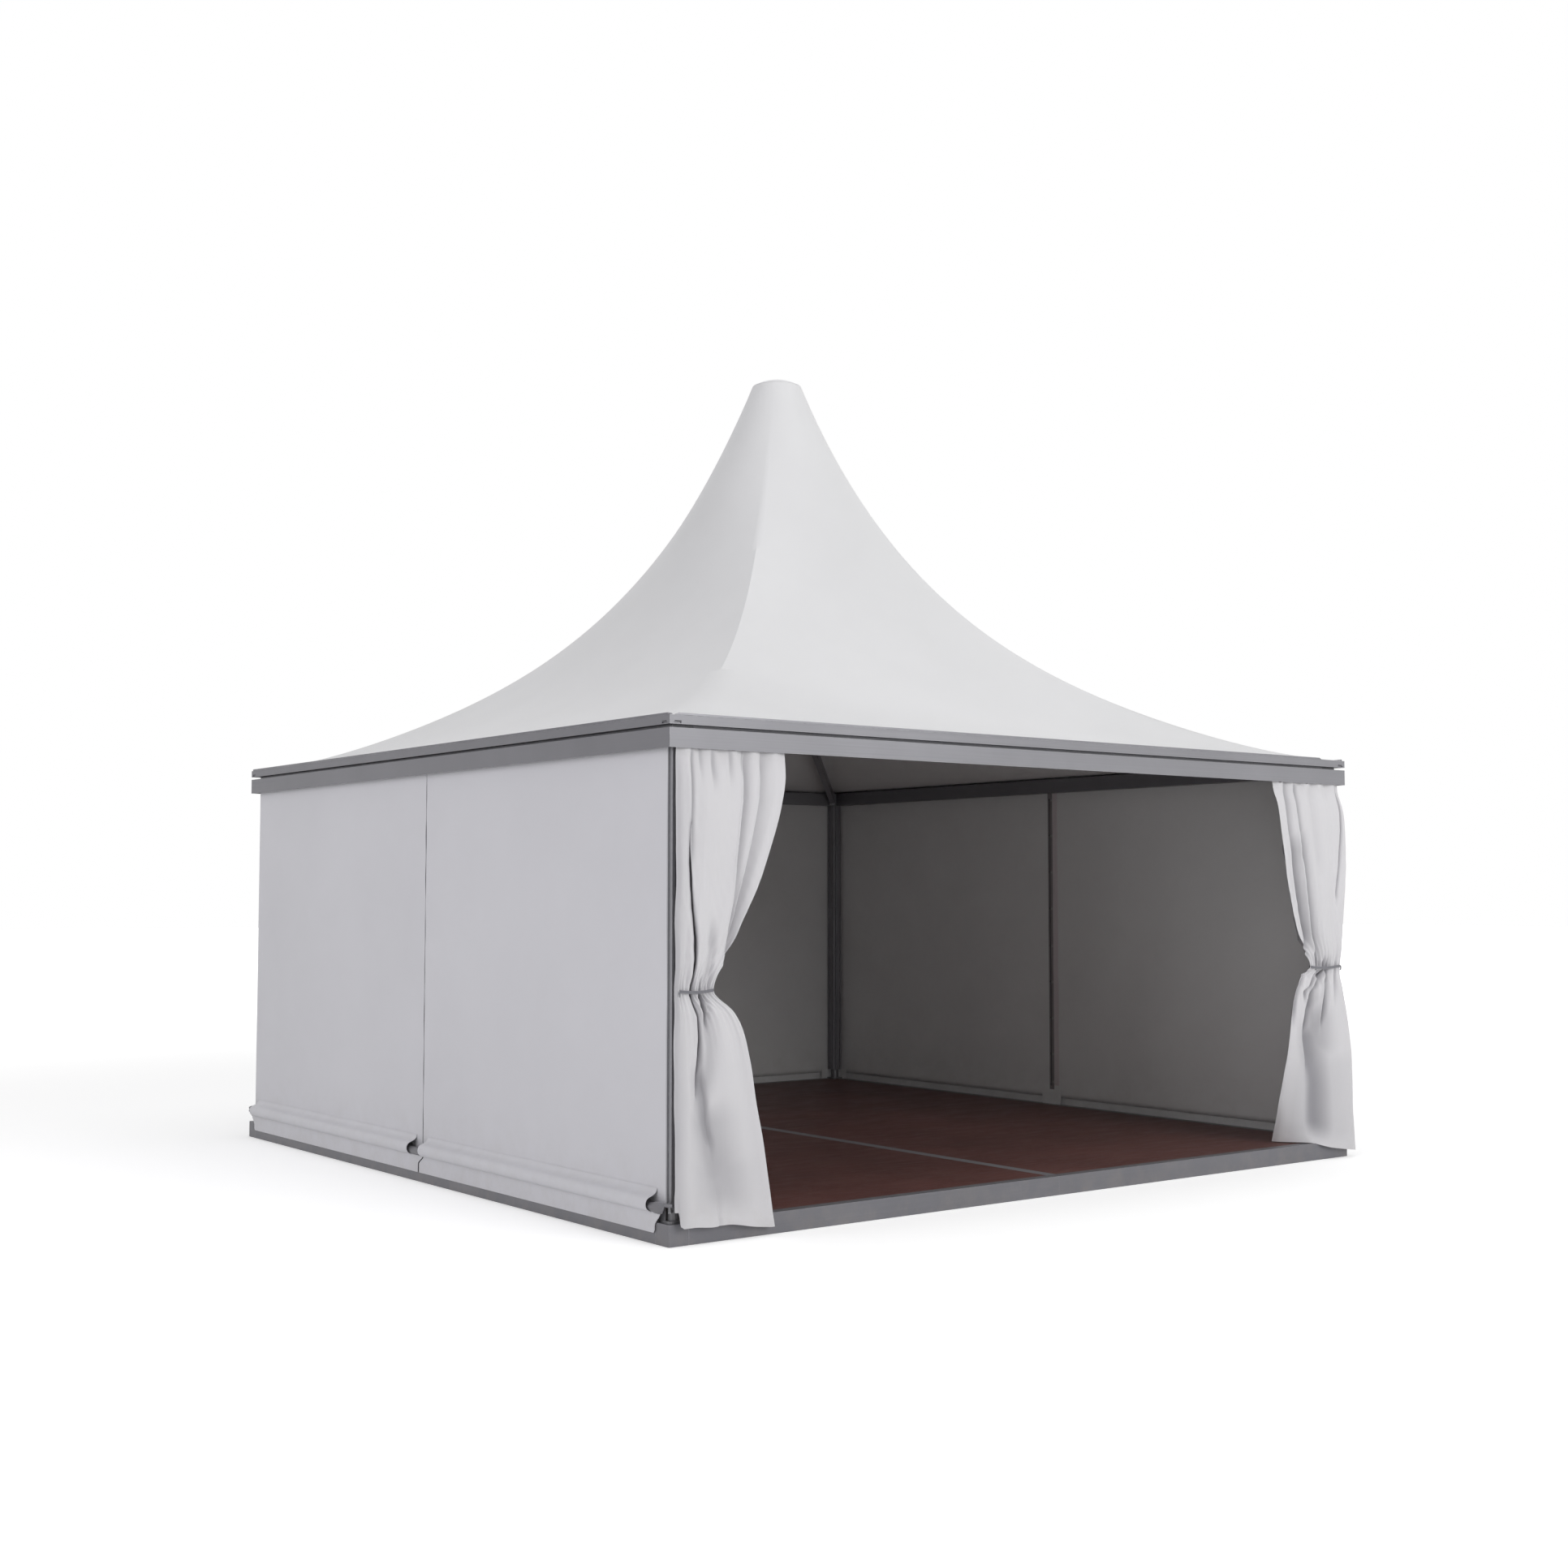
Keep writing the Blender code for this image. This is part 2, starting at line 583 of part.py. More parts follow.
def make_corner_brackets(metal):
    """A block on the post's head with arms into both eave beams and the post, and a rafter tongue."""
    offset = TONGUE_WIDTH / math.sqrt(2)
    inner = -POST_IN
    outer = -POST_OUT
    end = inner + BRACKET_ARM
    along = Vector((-TONGUE_END, -TONGUE_END)) / math.sqrt(2)
    across = Vector((1.0, -1.0)) * TONGUE_WIDTH / 2 / math.sqrt(2)
    plan = [
        (outer, outer), (end, outer), (end, inner), (inner + offset, inner), tuple(along + across),
        tuple(along - across), (inner, inner + offset), (inner, end), (outer, end),
    ]
    low = BOX_LOW + GAP
    block = upright("bracket", plan, (), low, EAVE_TOP)
    play = BOX_WALL + SOCKET_PLAY
    into_post = POST_BORE / 2 - SPIGOT_PLAY
    sunk = POST_SIZE / 4
    arms = [
        box("arm", (end - sunk, outer + play, BOX_LOW + play),
            (end + SOCKET_STUB, inner - play, EAVE_TOP - play)),
        box("arm", (outer + play, end - sunk, BOX_LOW + play),
            (inner - play, end + SOCKET_STUB, EAVE_TOP - play)),
        box("arm", (-POST_AXIS - into_post, -POST_AXIS - into_post, BOX_LOW - SOCKET_STUB),
            (-POST_AXIS + into_post, -POST_AXIS + into_post, low + BOX_WALL)),
    ]
    bracket = combine(block, arms, "UNION")
    for turns, place in enumerate(("front_left", "front_right", "back_right", "back_left")):
        add_object("corner_bracket_" + place, bracket.copy(), metal, turns=turns)


def make_rafters(metal):
    half = RAFTER_WIDTH / 2
    tall = RAFTER_HEIGHT / 2 / math.cos(RAFTER_SLOPE)
    outline = rectangle(-half, -tall, half, tall)
    bore = rectangle(-half + RAFTER_WALL, -tall + RAFTER_WALL, half - RAFTER_WALL, tall - RAFTER_WALL)

    def place(a, b, distance):
        rise = (TONGUE_END - distance) * math.tan(RAFTER_SLOPE)
        return (distance, a, RAFTER_FOOT + rise + b)

    rafter = swept("rafter", outline, (bore,), (HUB_FLAT + GAP, TONGUE_END - GAP), place)
    for turns, name in enumerate(("front_left", "front_right", "back_right", "back_left")):
        add_object("rafter_" + name, rafter.copy(), metal, turns=turns + 2.5)


def make_hub(metal, bolt_metal):
    """A clamp hub: a collar with four rafter seats, slit at one side and drawn up by a bolt."""
    half = RAFTER_WIDTH / 2
    points = []
    steps = 8
    inset = math.asin(half / HUB_RADIUS)
    slit = math.asin(HUB_SLIT / 2 / HUB_RADIUS)
    ear = math.asin((HUB_SLIT / 2 + EAR_THICK) / HUB_RADIUS)
    for quarter in range(4):
        middle = math.pi / 4 + quarter * math.pi / 2
        start = middle - math.pi / 2 + inset
        stop = middle - inset
        if quarter == 0:
            points += [(EAR_REACH, HUB_SLIT / 2), (EAR_REACH, HUB_SLIT / 2 + EAR_THICK)]
            start = ear
        span = stop - start
        for i in range(steps // 2 + 1):
            angle = start + span * i / (steps // 2)
            points.append((HUB_RADIUS * math.cos(angle), HUB_RADIUS * math.sin(angle)))
        out = Vector((math.cos(middle), math.sin(middle)))
        side = Vector((-out.y, out.x))
        points.append(tuple(out * HUB_FLAT - side * half))
        points.append(tuple(out * HUB_FLAT + side * half))
    start = 7 * math.pi / 4 + inset
    stop = 2 * math.pi - ear
    for i in range(steps // 2 + 1):
        angle = start + (stop - start) * i / (steps // 2)
        points.append((HUB_RADIUS * math.cos(angle), HUB_RADIUS * math.sin(angle)))
    points += [(EAR_REACH, -HUB_SLIT / 2 - EAR_THICK), (EAR_REACH, -HUB_SLIT / 2)]
    bore = MAST_RADIUS + GAP
    open_angle = math.asin(HUB_SLIT / 2 / bore)
    count = 24
    for i in range(count + 1):
        angle = -open_angle - (2 * math.pi - 2 * open_angle) * i / count
        points.append((bore * math.cos(angle), bore * math.sin(angle)))
    low = HUB_MIDDLE - HUB_HEIGHT / 2
    hub = upright("hub", points, (), low, low + HUB_HEIGHT)
    reach = EAR_THICK + HUB_SLIT
    hole = swept("hole", circle(BOLT_RADIUS + BOLT_PLAY, 16), (), (-reach, reach),
                 lambda a, b, s: (BOLT_FROM_AXIS + a, s, HUB_MIDDLE + b))
    hub = combine(hub, (hole,), "DIFFERENCE")
    piece = add_object("rafter_hub", hub, metal)
    smooth(piece)

    face = HUB_SLIT / 2 + EAR_THICK + GAP
    tip = face + BOLT_HEAD_THICK / 2
    shank = swept("bolt", circle(BOLT_RADIUS, 16), (), (-tip, tip),
                  lambda a, b, s: (BOLT_FROM_AXIS + a, s, HUB_MIDDLE + b))
    ends = []
    for sign in (-1, 1):
        span = sorted((sign * face, sign * (face + BOLT_HEAD_THICK)))
        ends.append(swept("head", circle(BOLT_HEAD, 6), (), span,
                          lambda a, b, s: (BOLT_FROM_AXIS + a, s, HUB_MIDDLE + b)))
    add_object("hub_clamp_bolt", combine(shank, ends, "UNION"), bolt_metal)


def make_mast(metal, fabric):
    """Mast, crown and cap hang on one empty at the mast's foot and slide together."""
    base = HUB_MIDDLE - HUB_HEIGHT / 2 - MAST_BELOW_HUB
    empty = bpy.data.objects.new("mast_axis", None)
    bpy.context.collection.objects.link(empty)
    skirt_low = SHOULDER_HEIGHT - CAP_SKIRT
    rim_top = SHOULDER_HEIGHT - CAP_THICK * 2
    plate_top = rim_top - CROWN_RIM
    plate_low = plate_top - CROWN_PLATE
    mast_top = plate_low - GAP
    bore = MAST_RADIUS - MAST_WALL
    mast = turned("mast", [(MAST_RADIUS, base), (MAST_RADIUS, mast_top), (bore, mast_top), (bore, base)], 24)
    smooth(add_object("mast", mast, metal, empty))

    rim = CAP_RADIUS - CAP_THICK - GAP
    sleeve = MAST_RADIUS + GAP
    crown = turned("crown", [
        (0.0, plate_low), (sleeve, plate_low), (sleeve, plate_low - CROWN_COLLAR),
        (sleeve + CROWN_WALL, plate_low - CROWN_COLLAR), (sleeve + CROWN_WALL, plate_low - CROWN_WALL * 2),
        (rim - CROWN_WALL, plate_low - CROWN_WALL), (rim, plate_low), (rim, rim_top),
        (rim - CROWN_WALL, rim_top), (rim - CROWN_WALL, plate_top), (0.0, plate_top),
    ], 32)
    smooth(add_object("mast_crown", crown, metal, empty))

    steps = 5
    rise = PEAK_HEIGHT - SHOULDER_HEIGHT
    inside = CAP_RADIUS - CAP_THICK
    outer = [(CAP_RADIUS, skirt_low)]
    inner = [(inside, skirt_low)]
    for i in range(steps):
        angle = math.pi / 2 * i / steps
        height = SHOULDER_HEIGHT + rise * math.sin(angle) ** 0.9
        outer.append((CAP_RADIUS * math.cos(angle), height))
        inner.append((inside * math.cos(angle), height - CAP_THICK))
    outer.append((0.0, PEAK_HEIGHT))
    inner.append((0.0, PEAK_HEIGHT - CAP_THICK))
    smooth(add_object("peak_cap", turned("cap", outer + list(reversed(inner)), 32), fabric, empty))


def hip_curve(t):
    """Half side and height of the roof's hip, from the eave at 0 to the shoulder at 1."""
    top_half = SHOULDER_RADIUS / math.sqrt(2)
    handles = [(0.0, 0.0)] + list(ROOF_PULLS) + [(1.0, 1.0)]
    inward = sum(math.comb(4, i) * (1 - t) ** (4 - i) * t**i * handles[i][0] for i in range(5))
    upward = sum(math.comb(4, i) * (1 - t) ** (4 - i) * t**i * handles[i][1] for i in range(5))
    half = FRAME_HALF + (top_half - FRAME_HALF) * inward
    return half, ROOF_EDGE_HEIGHT + (SHOULDER_HEIGHT - ROOF_EDGE_HEIGHT) * upward


def gore_point(t, across):
    """A point of the front gore: its sections go smoothly from a square's side to a quarter circle."""
    half, height = hip_curve(t)
    rise = (height - ROOF_EDGE_HEIGHT) / (SHOULDER_HEIGHT - ROOF_EDGE_HEIGHT)
    roundness = rise * rise * (3 - 2 * rise)
    angle = across * math.pi / 4
    square = Vector((math.tan(angle), -1.0))
    ring = Vector((math.sin(angle), -math.cos(angle))) * math.sqrt(2)
    flat = half * (square * (1 - roundness) + ring * roundness)
    return Vector((flat.x, flat.y, height))


def gore_normal(t, across):
    """The front gore's outward normal."""
    step = 1e-4
    sideways = gore_point(t, across + step) - gore_point(t, across - step)
    upwards = gore_point(t + step, across) - gore_point(t - step, across)
    return sideways.cross(upwards).normalized()


def gore_mesh():
    """The membrane's front quarter, mitred along both hips."""
    outer = []
    inner = []
    for row in range(ROOF_ROWS + 1):
        for column in range(ROOF_SIDE_STEPS + 1):
            t = row / ROOF_ROWS
            across = column * 2 / ROOF_SIDE_STEPS - 1
            point = gore_point(t, across)
            normal = gore_normal(t, across)
            beside = normal
            shift = Vector((0.0, 0.0, 0.0))
            if column in (0, ROOF_SIDE_STEPS):
                mitre = Vector((across, 1.0, 0.0)).normalized()
                beside = normal.reflect(mitre)
                shift = mitre * -GAP / 2
            outer.append(point + shift)
            inner.append(point + shift - (normal + beside) * ROOF_THICK / (1 + normal.dot(beside)))
    wide = ROOF_SIDE_STEPS + 1
    count = len(outer)
    faces = []
    for row in range(ROOF_ROWS):
        for column in range(ROOF_SIDE_STEPS):
            a = row * wide + column
            b = a + wide
            if column * 2 < ROOF_SIDE_STEPS:
                halves = ((a, a + 1, b), (a + 1, b + 1, b))
            else:
                halves = ((a, a + 1, b + 1), (a, b + 1, b))
            for face in halves:
                faces.append(face)
                faces.append(tuple(count + i for i in reversed(face)))
    top = ROOF_ROWS * wide
    for column in range(ROOF_SIDE_STEPS):
        faces.append((column + count, column + 1 + count, column + 1, column))
        a = top + column
        faces.append((a, a + 1, a + 1 + count, a + count))
    for row in range(ROOF_ROWS):
        a = row * wide
        faces.append((a, a + wide, a + wide + count, a + count))
        a += ROOF_SIDE_STEPS
        faces.append((a + count, a + wide + count, a + wide, a))
    return make_mesh("gore", outer + inner, faces)


def make_roof(fabric):
    """The membrane is welded from four gores; each is a body of its own, so that the roof stays open below."""
    gore = gore_mesh()
    for turns, side in enumerate(("front", "right", "back", "left")):
        smooth(add_object("roof_gore_" + side, gore.copy(), fabric, turns=turns))


def wall_section():
    """Wall, pocket and flap in distance from the centre and height, and the pocket's bore."""
    steps = 8
    flap_in = FRAME_HALF + FLAP_CLEAR
    flap_out = flap_in + WALL_THICK
    outline = [(WALL_IN, WALL_HIGH), (WALL_IN, POCKET_HEIGHT)]
    for i in range(1, 5):
        angle = math.pi + i * math.pi / 2 / 5
        outline.append((POCKET_OUT + POCKET_RADIUS * math.cos(angle),
                        POCKET_HEIGHT + POCKET_RADIUS * math.sin(angle)))
    outline += [(flap_in, POCKET_HEIGHT - POCKET_RADIUS - WALL_THICK), (flap_in, FLAP_LOW)]
    outline += [(flap_out, FLAP_LOW), (flap_out, POCKET_HEIGHT - POCKET_RADIUS)]
    for i in range(1, steps):
        angle = -math.pi / 2 + i * math.pi / steps
        outline.append((POCKET_OUT + POCKET_RADIUS * math.cos(angle),
                        POCKET_HEIGHT + POCKET_RADIUS * math.sin(angle)))
    outline += [(WALL_FACE, POCKET_HEIGHT + POCKET_RADIUS * 1.1), (WALL_FACE, WALL_HIGH)]
    bore = circle(POCKET_BORE, 16, POCKET_OUT, POCKET_HEIGHT)
    return outline, bore


def wall_mesh():
    """The panel at the positive end of its side, from the seam to the post."""
    outline, bore = wall_section()
    far = POST_OUT - TRACK_FROM_EDGE + WALL_THICK / 2
    panel = along_side("wall", outline, (bore,), SEAM_GAP, far)
    mouth = POST_OUT - POCKET_FROM_POST
    low = POCKET_HEIGHT - POCKET_RADIUS - WALL_THICK * 2
    high = POCKET_HEIGHT + POCKET_RADIUS * 1.15
    out = POCKET_OUT + POCKET_RADIUS * 2
    cuts = [
        box("cut", (mouth, -out, low), (FRAME_HALF, -POST_IN, high)),
        box("cut", (-SEAM_GAP, -out, low), (POCKET_FROM_SEAM, -WALL_FACE - GAP, high)),
        box("cut", (POST_OUT - FLAP_FROM_POST, -out, -low), (FRAME_HALF, -POST_IN, low + WALL_THICK)),
    ]
    panel = combine(panel, cuts, "DIFFERENCE")
    track = POST_OUT - TRACK_FROM_EDGE
    depth = POST_OUT - TRACK_LIP - TRACK_RADIUS * 0.9
    neck = WALL_THICK / 2
    bead = [(track + neck, -WALL_IN - neck), (track - neck, -WALL_IN - neck)]
    for i in range(9):
        angle = math.radians(-115 - i * 310 / 8)
        bead.append((track + BEAD_RADIUS * math.cos(angle), -depth + BEAD_RADIUS * math.sin(angle)))
    strip = upright("bead", bead, (), high + WALL_THICK, POST_HIGH)
    return combine(panel, (strip,), "UNION")


def make_walls(fabric):
    panel = wall_mesh()
    other = mirrored(panel, 0)
    places = (("right", 1, "back", "front"), ("back", 2, "left", "right"), ("left", 3, "front", "back"))
    for side, turns, positive, negative in places:
        for place, mesh in ((positive, panel.copy()), (negative, other.copy())):
            piece = add_object("wall_{}_{}".format(side, place), mesh, fabric, turns=turns)
            smooth(piece)


def hook_stations(hook_height):
    """Place, heading, half height and half thickness along a tube's end that hooks on its peg."""
    turn_radius = PEG_RADIUS + HOOK_PLAY + TONGUE_THIN
    line = -PEG_AT - turn_radius
    mouth = POST_OUT - POCKET_FROM_POST
    stations = [
        (mouth, -POCKET_OUT, TUBE_HEIGHT, 0.0, TUBE_RADIUS, TUBE_RADIUS),
        (PEG_AT - 0.085, -POCKET_OUT, TUBE_HEIGHT, 2.0, TONGUE_TALL * 0.93, TONGUE_THIN * 1.7),
        (PEG_AT - 0.060, -POCKET_OUT + 0.002, TUBE_HEIGHT, 8.0, TONGUE_TALL, TONGUE_THIN),
        (PEG_AT - 0.036, line - 0.004, TUBE_HEIGHT, 9.0, TONGUE_TALL * 0.86, TONGUE_THIN),
        (PEG_AT - 0.0205, line - 0.001, hook_height, 4.0, HOOK_TALL, TONGUE_THIN),
    ]
    for angle in (0.0, 30.0, 60.0, 90.0, 120.0, 145.0):
        swing = math.radians(angle - 90.0)
        x = PEG_AT + turn_radius * math.cos(swing)
        y = -PEG_AT + turn_radius * math.sin(swing)
        stations.append((x, y, hook_height, angle, HOOK_TALL, TONGUE_THIN))
    return stations


def tube_mesh(hook_height):
    """A tension tube of the front side's frame, hooked on the corner pegs at both its ends."""
    right = hook_stations(hook_height)
    left = [(-x, y, z, -heading, tall, thin) for x, y, z, heading, tall, thin in reversed(right)]
    steps = 12
    points = []
    for x, y, z, heading, tall, thin in left + right:
        turn = math.radians(heading)
        across = Vector((-math.sin(turn), math.cos(turn)))
        for i in range(steps):
            angle = 2 * math.pi * i / steps
            offset = across * thin * math.cos(angle)
            points.append((x + offset.x, y + offset.y, z + tall * math.sin(angle)))
    rings = len(left + right)
    faces = [tuple(range(steps)), tuple(reversed(range((rings - 1) * steps, rings * steps)))]
    for row in range(rings - 1):
        for i in range(steps):
            a = row * steps + i
            b = row * steps + (i + 1) % steps
            faces.append((a, b, b + steps, a + steps))
    return make_mesh("tension_tube", points, faces)


def make_tension_tubes(metal):
    """The back tube's hooks lie on the pegs' arms and the side tubes' hooks on top of them."""
    low_hook = ARM_TOP + GAP + HOOK_TALL
    high_hook = low_hook + HOOK_TALL * 2 + GAP
    for name, turns, height in (("right", 1, high_hook), ("back", 2, low_hook), ("left", 3, high_hook)):
        piece = add_object("tension_tube_" + name, tube_mesh(height), metal, turns=turns)
        smooth(piece, 50.0)


def make_lacing(cord):
    """One cord down each seam on the inside, swaying from loop to loop."""
    out = WALL_IN - LACE_RADIUS - GAP
    high = WALL_HIGH - LACE_BELOW_TOP
    low = POCKET_HEIGHT + LACE_ABOVE_POCKET
    steps = LACE_LOOPS * 3
    for name, turns in (("right", 1), ("back", 2), ("left", 3)):
        curve = bpy.data.curves.new("lacing", "CURVE")
        curve.dimensions = "3D"
        curve.bevel_depth = LACE_RADIUS
        curve.bevel_resolution = 2
        curve.use_fill_caps = True
        line = curve.splines.new("POLY")
        line.points.add(steps)
        for i in range(steps + 1):
            x = LACE_SWAY * math.sin(math.pi * LACE_LOOPS * i / steps)
            z = high + (low - high) * i / steps
            line.points[i].co = (x, -out, z, 1.0)
        lace = bpy.data.objects.new("lacing_" + name, curve)
        lace.rotation_euler[2] = turns * math.pi / 2
        curve.materials.append(cord)
        bpy.context.collection.objects.link(lace)


def make_curtain_rail(metal):
    wide, tall = RAIL_SIZE
    inner = POST_OUT + RAIL_OUT
    outer = inner + wide
    top = RAIL_BOTTOM + tall
    middle = (inner + outer) / 2
    slot = RAIL_SLOT / 2
    lip = RAIL_BOTTOM + RAIL_WALL
    outline = [
        (inner, top), (inner, RAIL_BOTTOM), (middle - slot, RAIL_BOTTOM), (middle - slot, lip),
        (inner + RAIL_WALL, lip), (inner + RAIL_WALL, top - RAIL_WALL),
        (outer - RAIL_WALL, top - RAIL_WALL), (outer - RAIL_WALL, lip),
        (middle + slot, lip), (middle + slot, RAIL_BOTTOM), (outer, RAIL_BOTTOM), (outer, top),
    ]
    end = POST_OUT - RAIL_OUT
    add_object("curtain_rail", along_side("rail", outline, (), -end, end), metal)


def fold_wave(u, folds):
    """Height of the folds across the cloth, -1 to 1, uneven as hand-gathered cloth is."""
    return math.sin(2 * math.pi * folds * u + 0.9 * math.sin(2 * math.pi * u) + 0.6)


def hem_path(u, sign):
    """How far the hem stands inside the front, and how high it is: 1 and the floor, or 0."""
    if sign < 0:
        return 0.0
    inside = max(0.0, 1.0 - u / 0.42)
    return inside * inside * (3 - 2 * inside)


def curtain_grid(outline, folds, hem_low, sign, tie_height):
    """Points of the cloth, from the inner edge (u = 0) to the outer one, and from top to hem."""
    top = outline[0][0]
    tie_top = tie_height + TIED_HALF
    tie_low = tie_height - TIED_HALF
    grid = []
    for row in range(ROWS_ABOVE_TIE + ROWS_BELOW_TIE + 2):
        line = []
        for column in range(CURTAIN_COLUMNS + 1):
            u = column / CURTAIN_COLUMNS
            inside = hem_path(u, sign)
            hem = hem_low + (FRAME_HEIGHT + FLOOR_CLEAR - hem_low) * min(1.0, inside * 16)
            if row <= ROWS_ABOVE_TIE:
                z = top + (tie_top - top) * row / ROWS_ABOVE_TIE
            else:
                z = tie_low + (hem - tie_low) * (row - ROWS_ABOVE_TIE - 1) / ROWS_BELOW_TIE
            drawn = tie_height if abs(z - tie_height) < TIED_HALF + GAP else z
            inner, outer, out, depth = curve_through(outline, drawn)
            across = sign * (POST_OUT + CURTAIN_EDGE - inner + (inner - outer) * u)
            fall = max(0.0, (tie_low - z) / (tie_low - hem_low)) ** 1.3
            y = -FRAME_HALF - out - depth * fold_wave(u, folds)
            y += RIGHT_HEM_REACH * inside * fall
            line.append([across, y, z])
        grid.append(line)
    return grid


def hook_points(grid):
    """Draw the header up to the rail at each hook."""
    peak = RAIL_BOTTOM - GAP * 1.5
    step = CURTAIN_COLUMNS // HOOK_COUNT
    lip = -(POST_OUT + RAIL_OUT + RAIL_SIZE[0] * 0.8)
    for column, point in enumerate(grid[0]):
        if column % step == step // 2:
            point[1] = lip
            point[2] = peak


def curtain_mesh(grid):
    points = [point for line in grid for point in line]
    wide = len(grid[0])
    faces = []
    for row in range(len(grid) - 1):
        for column in range(wide - 1):
            a = row * wide + column
            faces.append((a, a + 1, a + 1 + wide, a + wide))
    mesh = bpy.data.meshes.new("curtain")
    mesh.from_pydata(points, [], faces)
    return mesh


def make_curtains(fabric, band):
    """Each curtain and its tie hang on one empty on the rail and slide together."""
    sides = (
        ("left", -1, LEFT_OUTLINE, LEFT_FOLDS, LEFT_HEM_LOW, LEFT_TIE_HEIGHT),
        ("right", 1, RIGHT_OUTLINE, RIGHT_FOLDS, RIGHT_HEM_LOW, RIGHT_TIE_HEIGHT),
    )
    for name, sign, outline, folds, hem_low, tie_height in sides:
        empty = bpy.data.objects.new(name + "_curtain_axis", None)
        bpy.context.collection.objects.link(empty)
        grid = curtain_grid(outline, folds, hem_low, sign, tie_height)
        hook_points(grid)
        piece = add_object("curtain_" + name, curtain_mesh(grid), fabric, empty)
        cloth = piece.modifiers.new("thickness", "SOLIDIFY")
        cloth.thickness = CURTAIN_THICK
        cloth.offset = 0.0
        smooth(piece, 60.0)
        inner, outer, out, depth = curve_through(outline, tie_height)
        high = POST_OUT + CURTAIN_EDGE - outer
        low = POST_OUT + CURTAIN_EDGE - inner
        half_x = (high - low) / 2 + CURTAIN_THICK / 2 + TIE_PLAY
        half_y = depth + CURTAIN_THICK / 2 + TIE_PLAY
        centre = (sign * (high + low) / 2, -FRAME_HALF - out)
        inside = round_oblong(half_x, half_y, TIE_ROUND, centre)
        outside = round_oblong(half_x + TIE_THICK, half_y + TIE_THICK, TIE_ROUND + TIE_THICK, centre)
        tie = upright("tie", outside, (inside,), tie_height - TIE_HEIGHT / 2, tie_height + TIE_HEIGHT / 2)
        smooth(add_object("curtain_tie_" + name, tie, band, empty))


def main():
    clear_scene()
    metal = make_material("aluminium", (0.36, 0.36, 0.38), 0.45, 0.6)
    dark_metal = make_material("steel", (0.20, 0.20, 0.21), 0.40, 0.9)
    board = make_material("board", (0.085, 0.035, 0.030), 0.45)
    canvas = make_material("canvas", (0.72, 0.72, 0.74), 0.55)
    cloth = make_material("curtain_cloth", (0.78, 0.78, 0.80), 0.80)
    band = make_material("tie_band", (0.22, 0.22, 0.23), 0.70)
    cord = make_material("lace_cord", (0.16, 0.08, 0.07), 0.80)
    make_floor_frame(metal)
    make_floor(metal, board)
    make_post_feet(metal)
    make_posts(metal)
    make_eaves(metal)
    make_corner_brackets(metal)
    make_rafters(metal)
    make_hub(metal, dark_metal)
    make_mast(metal, canvas)
    make_roof(canvas)
    make_walls(canvas)
    make_tension_tubes(metal)
    make_lacing(cord)
    make_curtain_rail(metal)
    make_curtains(cloth, band)


main()
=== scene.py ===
import math

import bpy
import numpy as np
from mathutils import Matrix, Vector


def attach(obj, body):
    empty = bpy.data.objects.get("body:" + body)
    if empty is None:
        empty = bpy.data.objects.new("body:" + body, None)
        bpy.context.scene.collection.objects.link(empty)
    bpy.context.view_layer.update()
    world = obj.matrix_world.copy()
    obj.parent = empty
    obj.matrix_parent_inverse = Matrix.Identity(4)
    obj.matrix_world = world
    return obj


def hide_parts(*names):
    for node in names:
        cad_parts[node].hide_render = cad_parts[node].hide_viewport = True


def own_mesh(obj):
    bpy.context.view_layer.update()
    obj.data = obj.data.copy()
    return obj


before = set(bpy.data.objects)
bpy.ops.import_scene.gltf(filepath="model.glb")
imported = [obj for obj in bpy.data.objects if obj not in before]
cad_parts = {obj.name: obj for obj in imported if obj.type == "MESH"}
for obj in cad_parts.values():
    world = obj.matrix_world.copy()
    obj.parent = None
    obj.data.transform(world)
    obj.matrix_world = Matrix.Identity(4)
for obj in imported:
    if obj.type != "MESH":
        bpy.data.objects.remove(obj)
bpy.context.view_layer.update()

sides = ("front", "right", "back", "left")
walledSides = sides[1:]
print("frame loaded with", len(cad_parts), "nodes")

camera = {
    "place": (-7.332, -9.709, 1.595),
    "lens": 43.355,
    "sensor": 36,
    "heading": -37.28,
    "tilt": 3.3735,
    "farthest": 300,
}
bpy.ops.object.select_all(action="DESELECT")
bpy.ops.object.camera_add(
    location=camera["place"],
    rotation=(math.radians(90 + camera["tilt"]), 0, math.radians(camera["heading"])),
)
bpy.context.scene.camera = bpy.context.object
bpy.context.object.data.lens = camera["lens"]
bpy.context.object.data.sensor_width = camera["sensor"]
bpy.context.object.data.clip_end = camera["farthest"]
print("camera placed")


def selectOnly(piece):
    if bpy.context.object and bpy.context.object.mode != "OBJECT":
        bpy.ops.object.mode_set(mode="OBJECT")
    bpy.ops.object.select_all(action="DESELECT")
    piece.select_set(True)
    bpy.context.view_layer.objects.active = piece


def bakePlace(piece):
    selectOnly(piece)
    bpy.ops.object.transform_apply(location=True, rotation=True, scale=True)


def smoothPiece(piece, angle):
    selectOnly(piece)
    bpy.ops.object.shade_smooth_by_angle(angle=math.radians(angle))


def addMaterials(piece, *names):
    for name in names:
        piece.data.materials.append(look[name])


def settle(piece, body, material, replaced=()):
    # place into the mesh, finish, and the body that it rides on
    bakePlace(piece)
    if material is not None:
        piece.data.materials.clear()
        addMaterials(piece, material)
    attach(piece, body)
    if replaced:
        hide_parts(*replaced)
    return piece


def joinPieces(name, pieces):
    selectOnly(pieces[0])
    for other in pieces[1:]:
        other.select_set(True)
    if len(pieces) > 1:
        bpy.ops.object.join()
    pieces[0].name = name
    pieces[0].data.name = name
    return pieces[0]


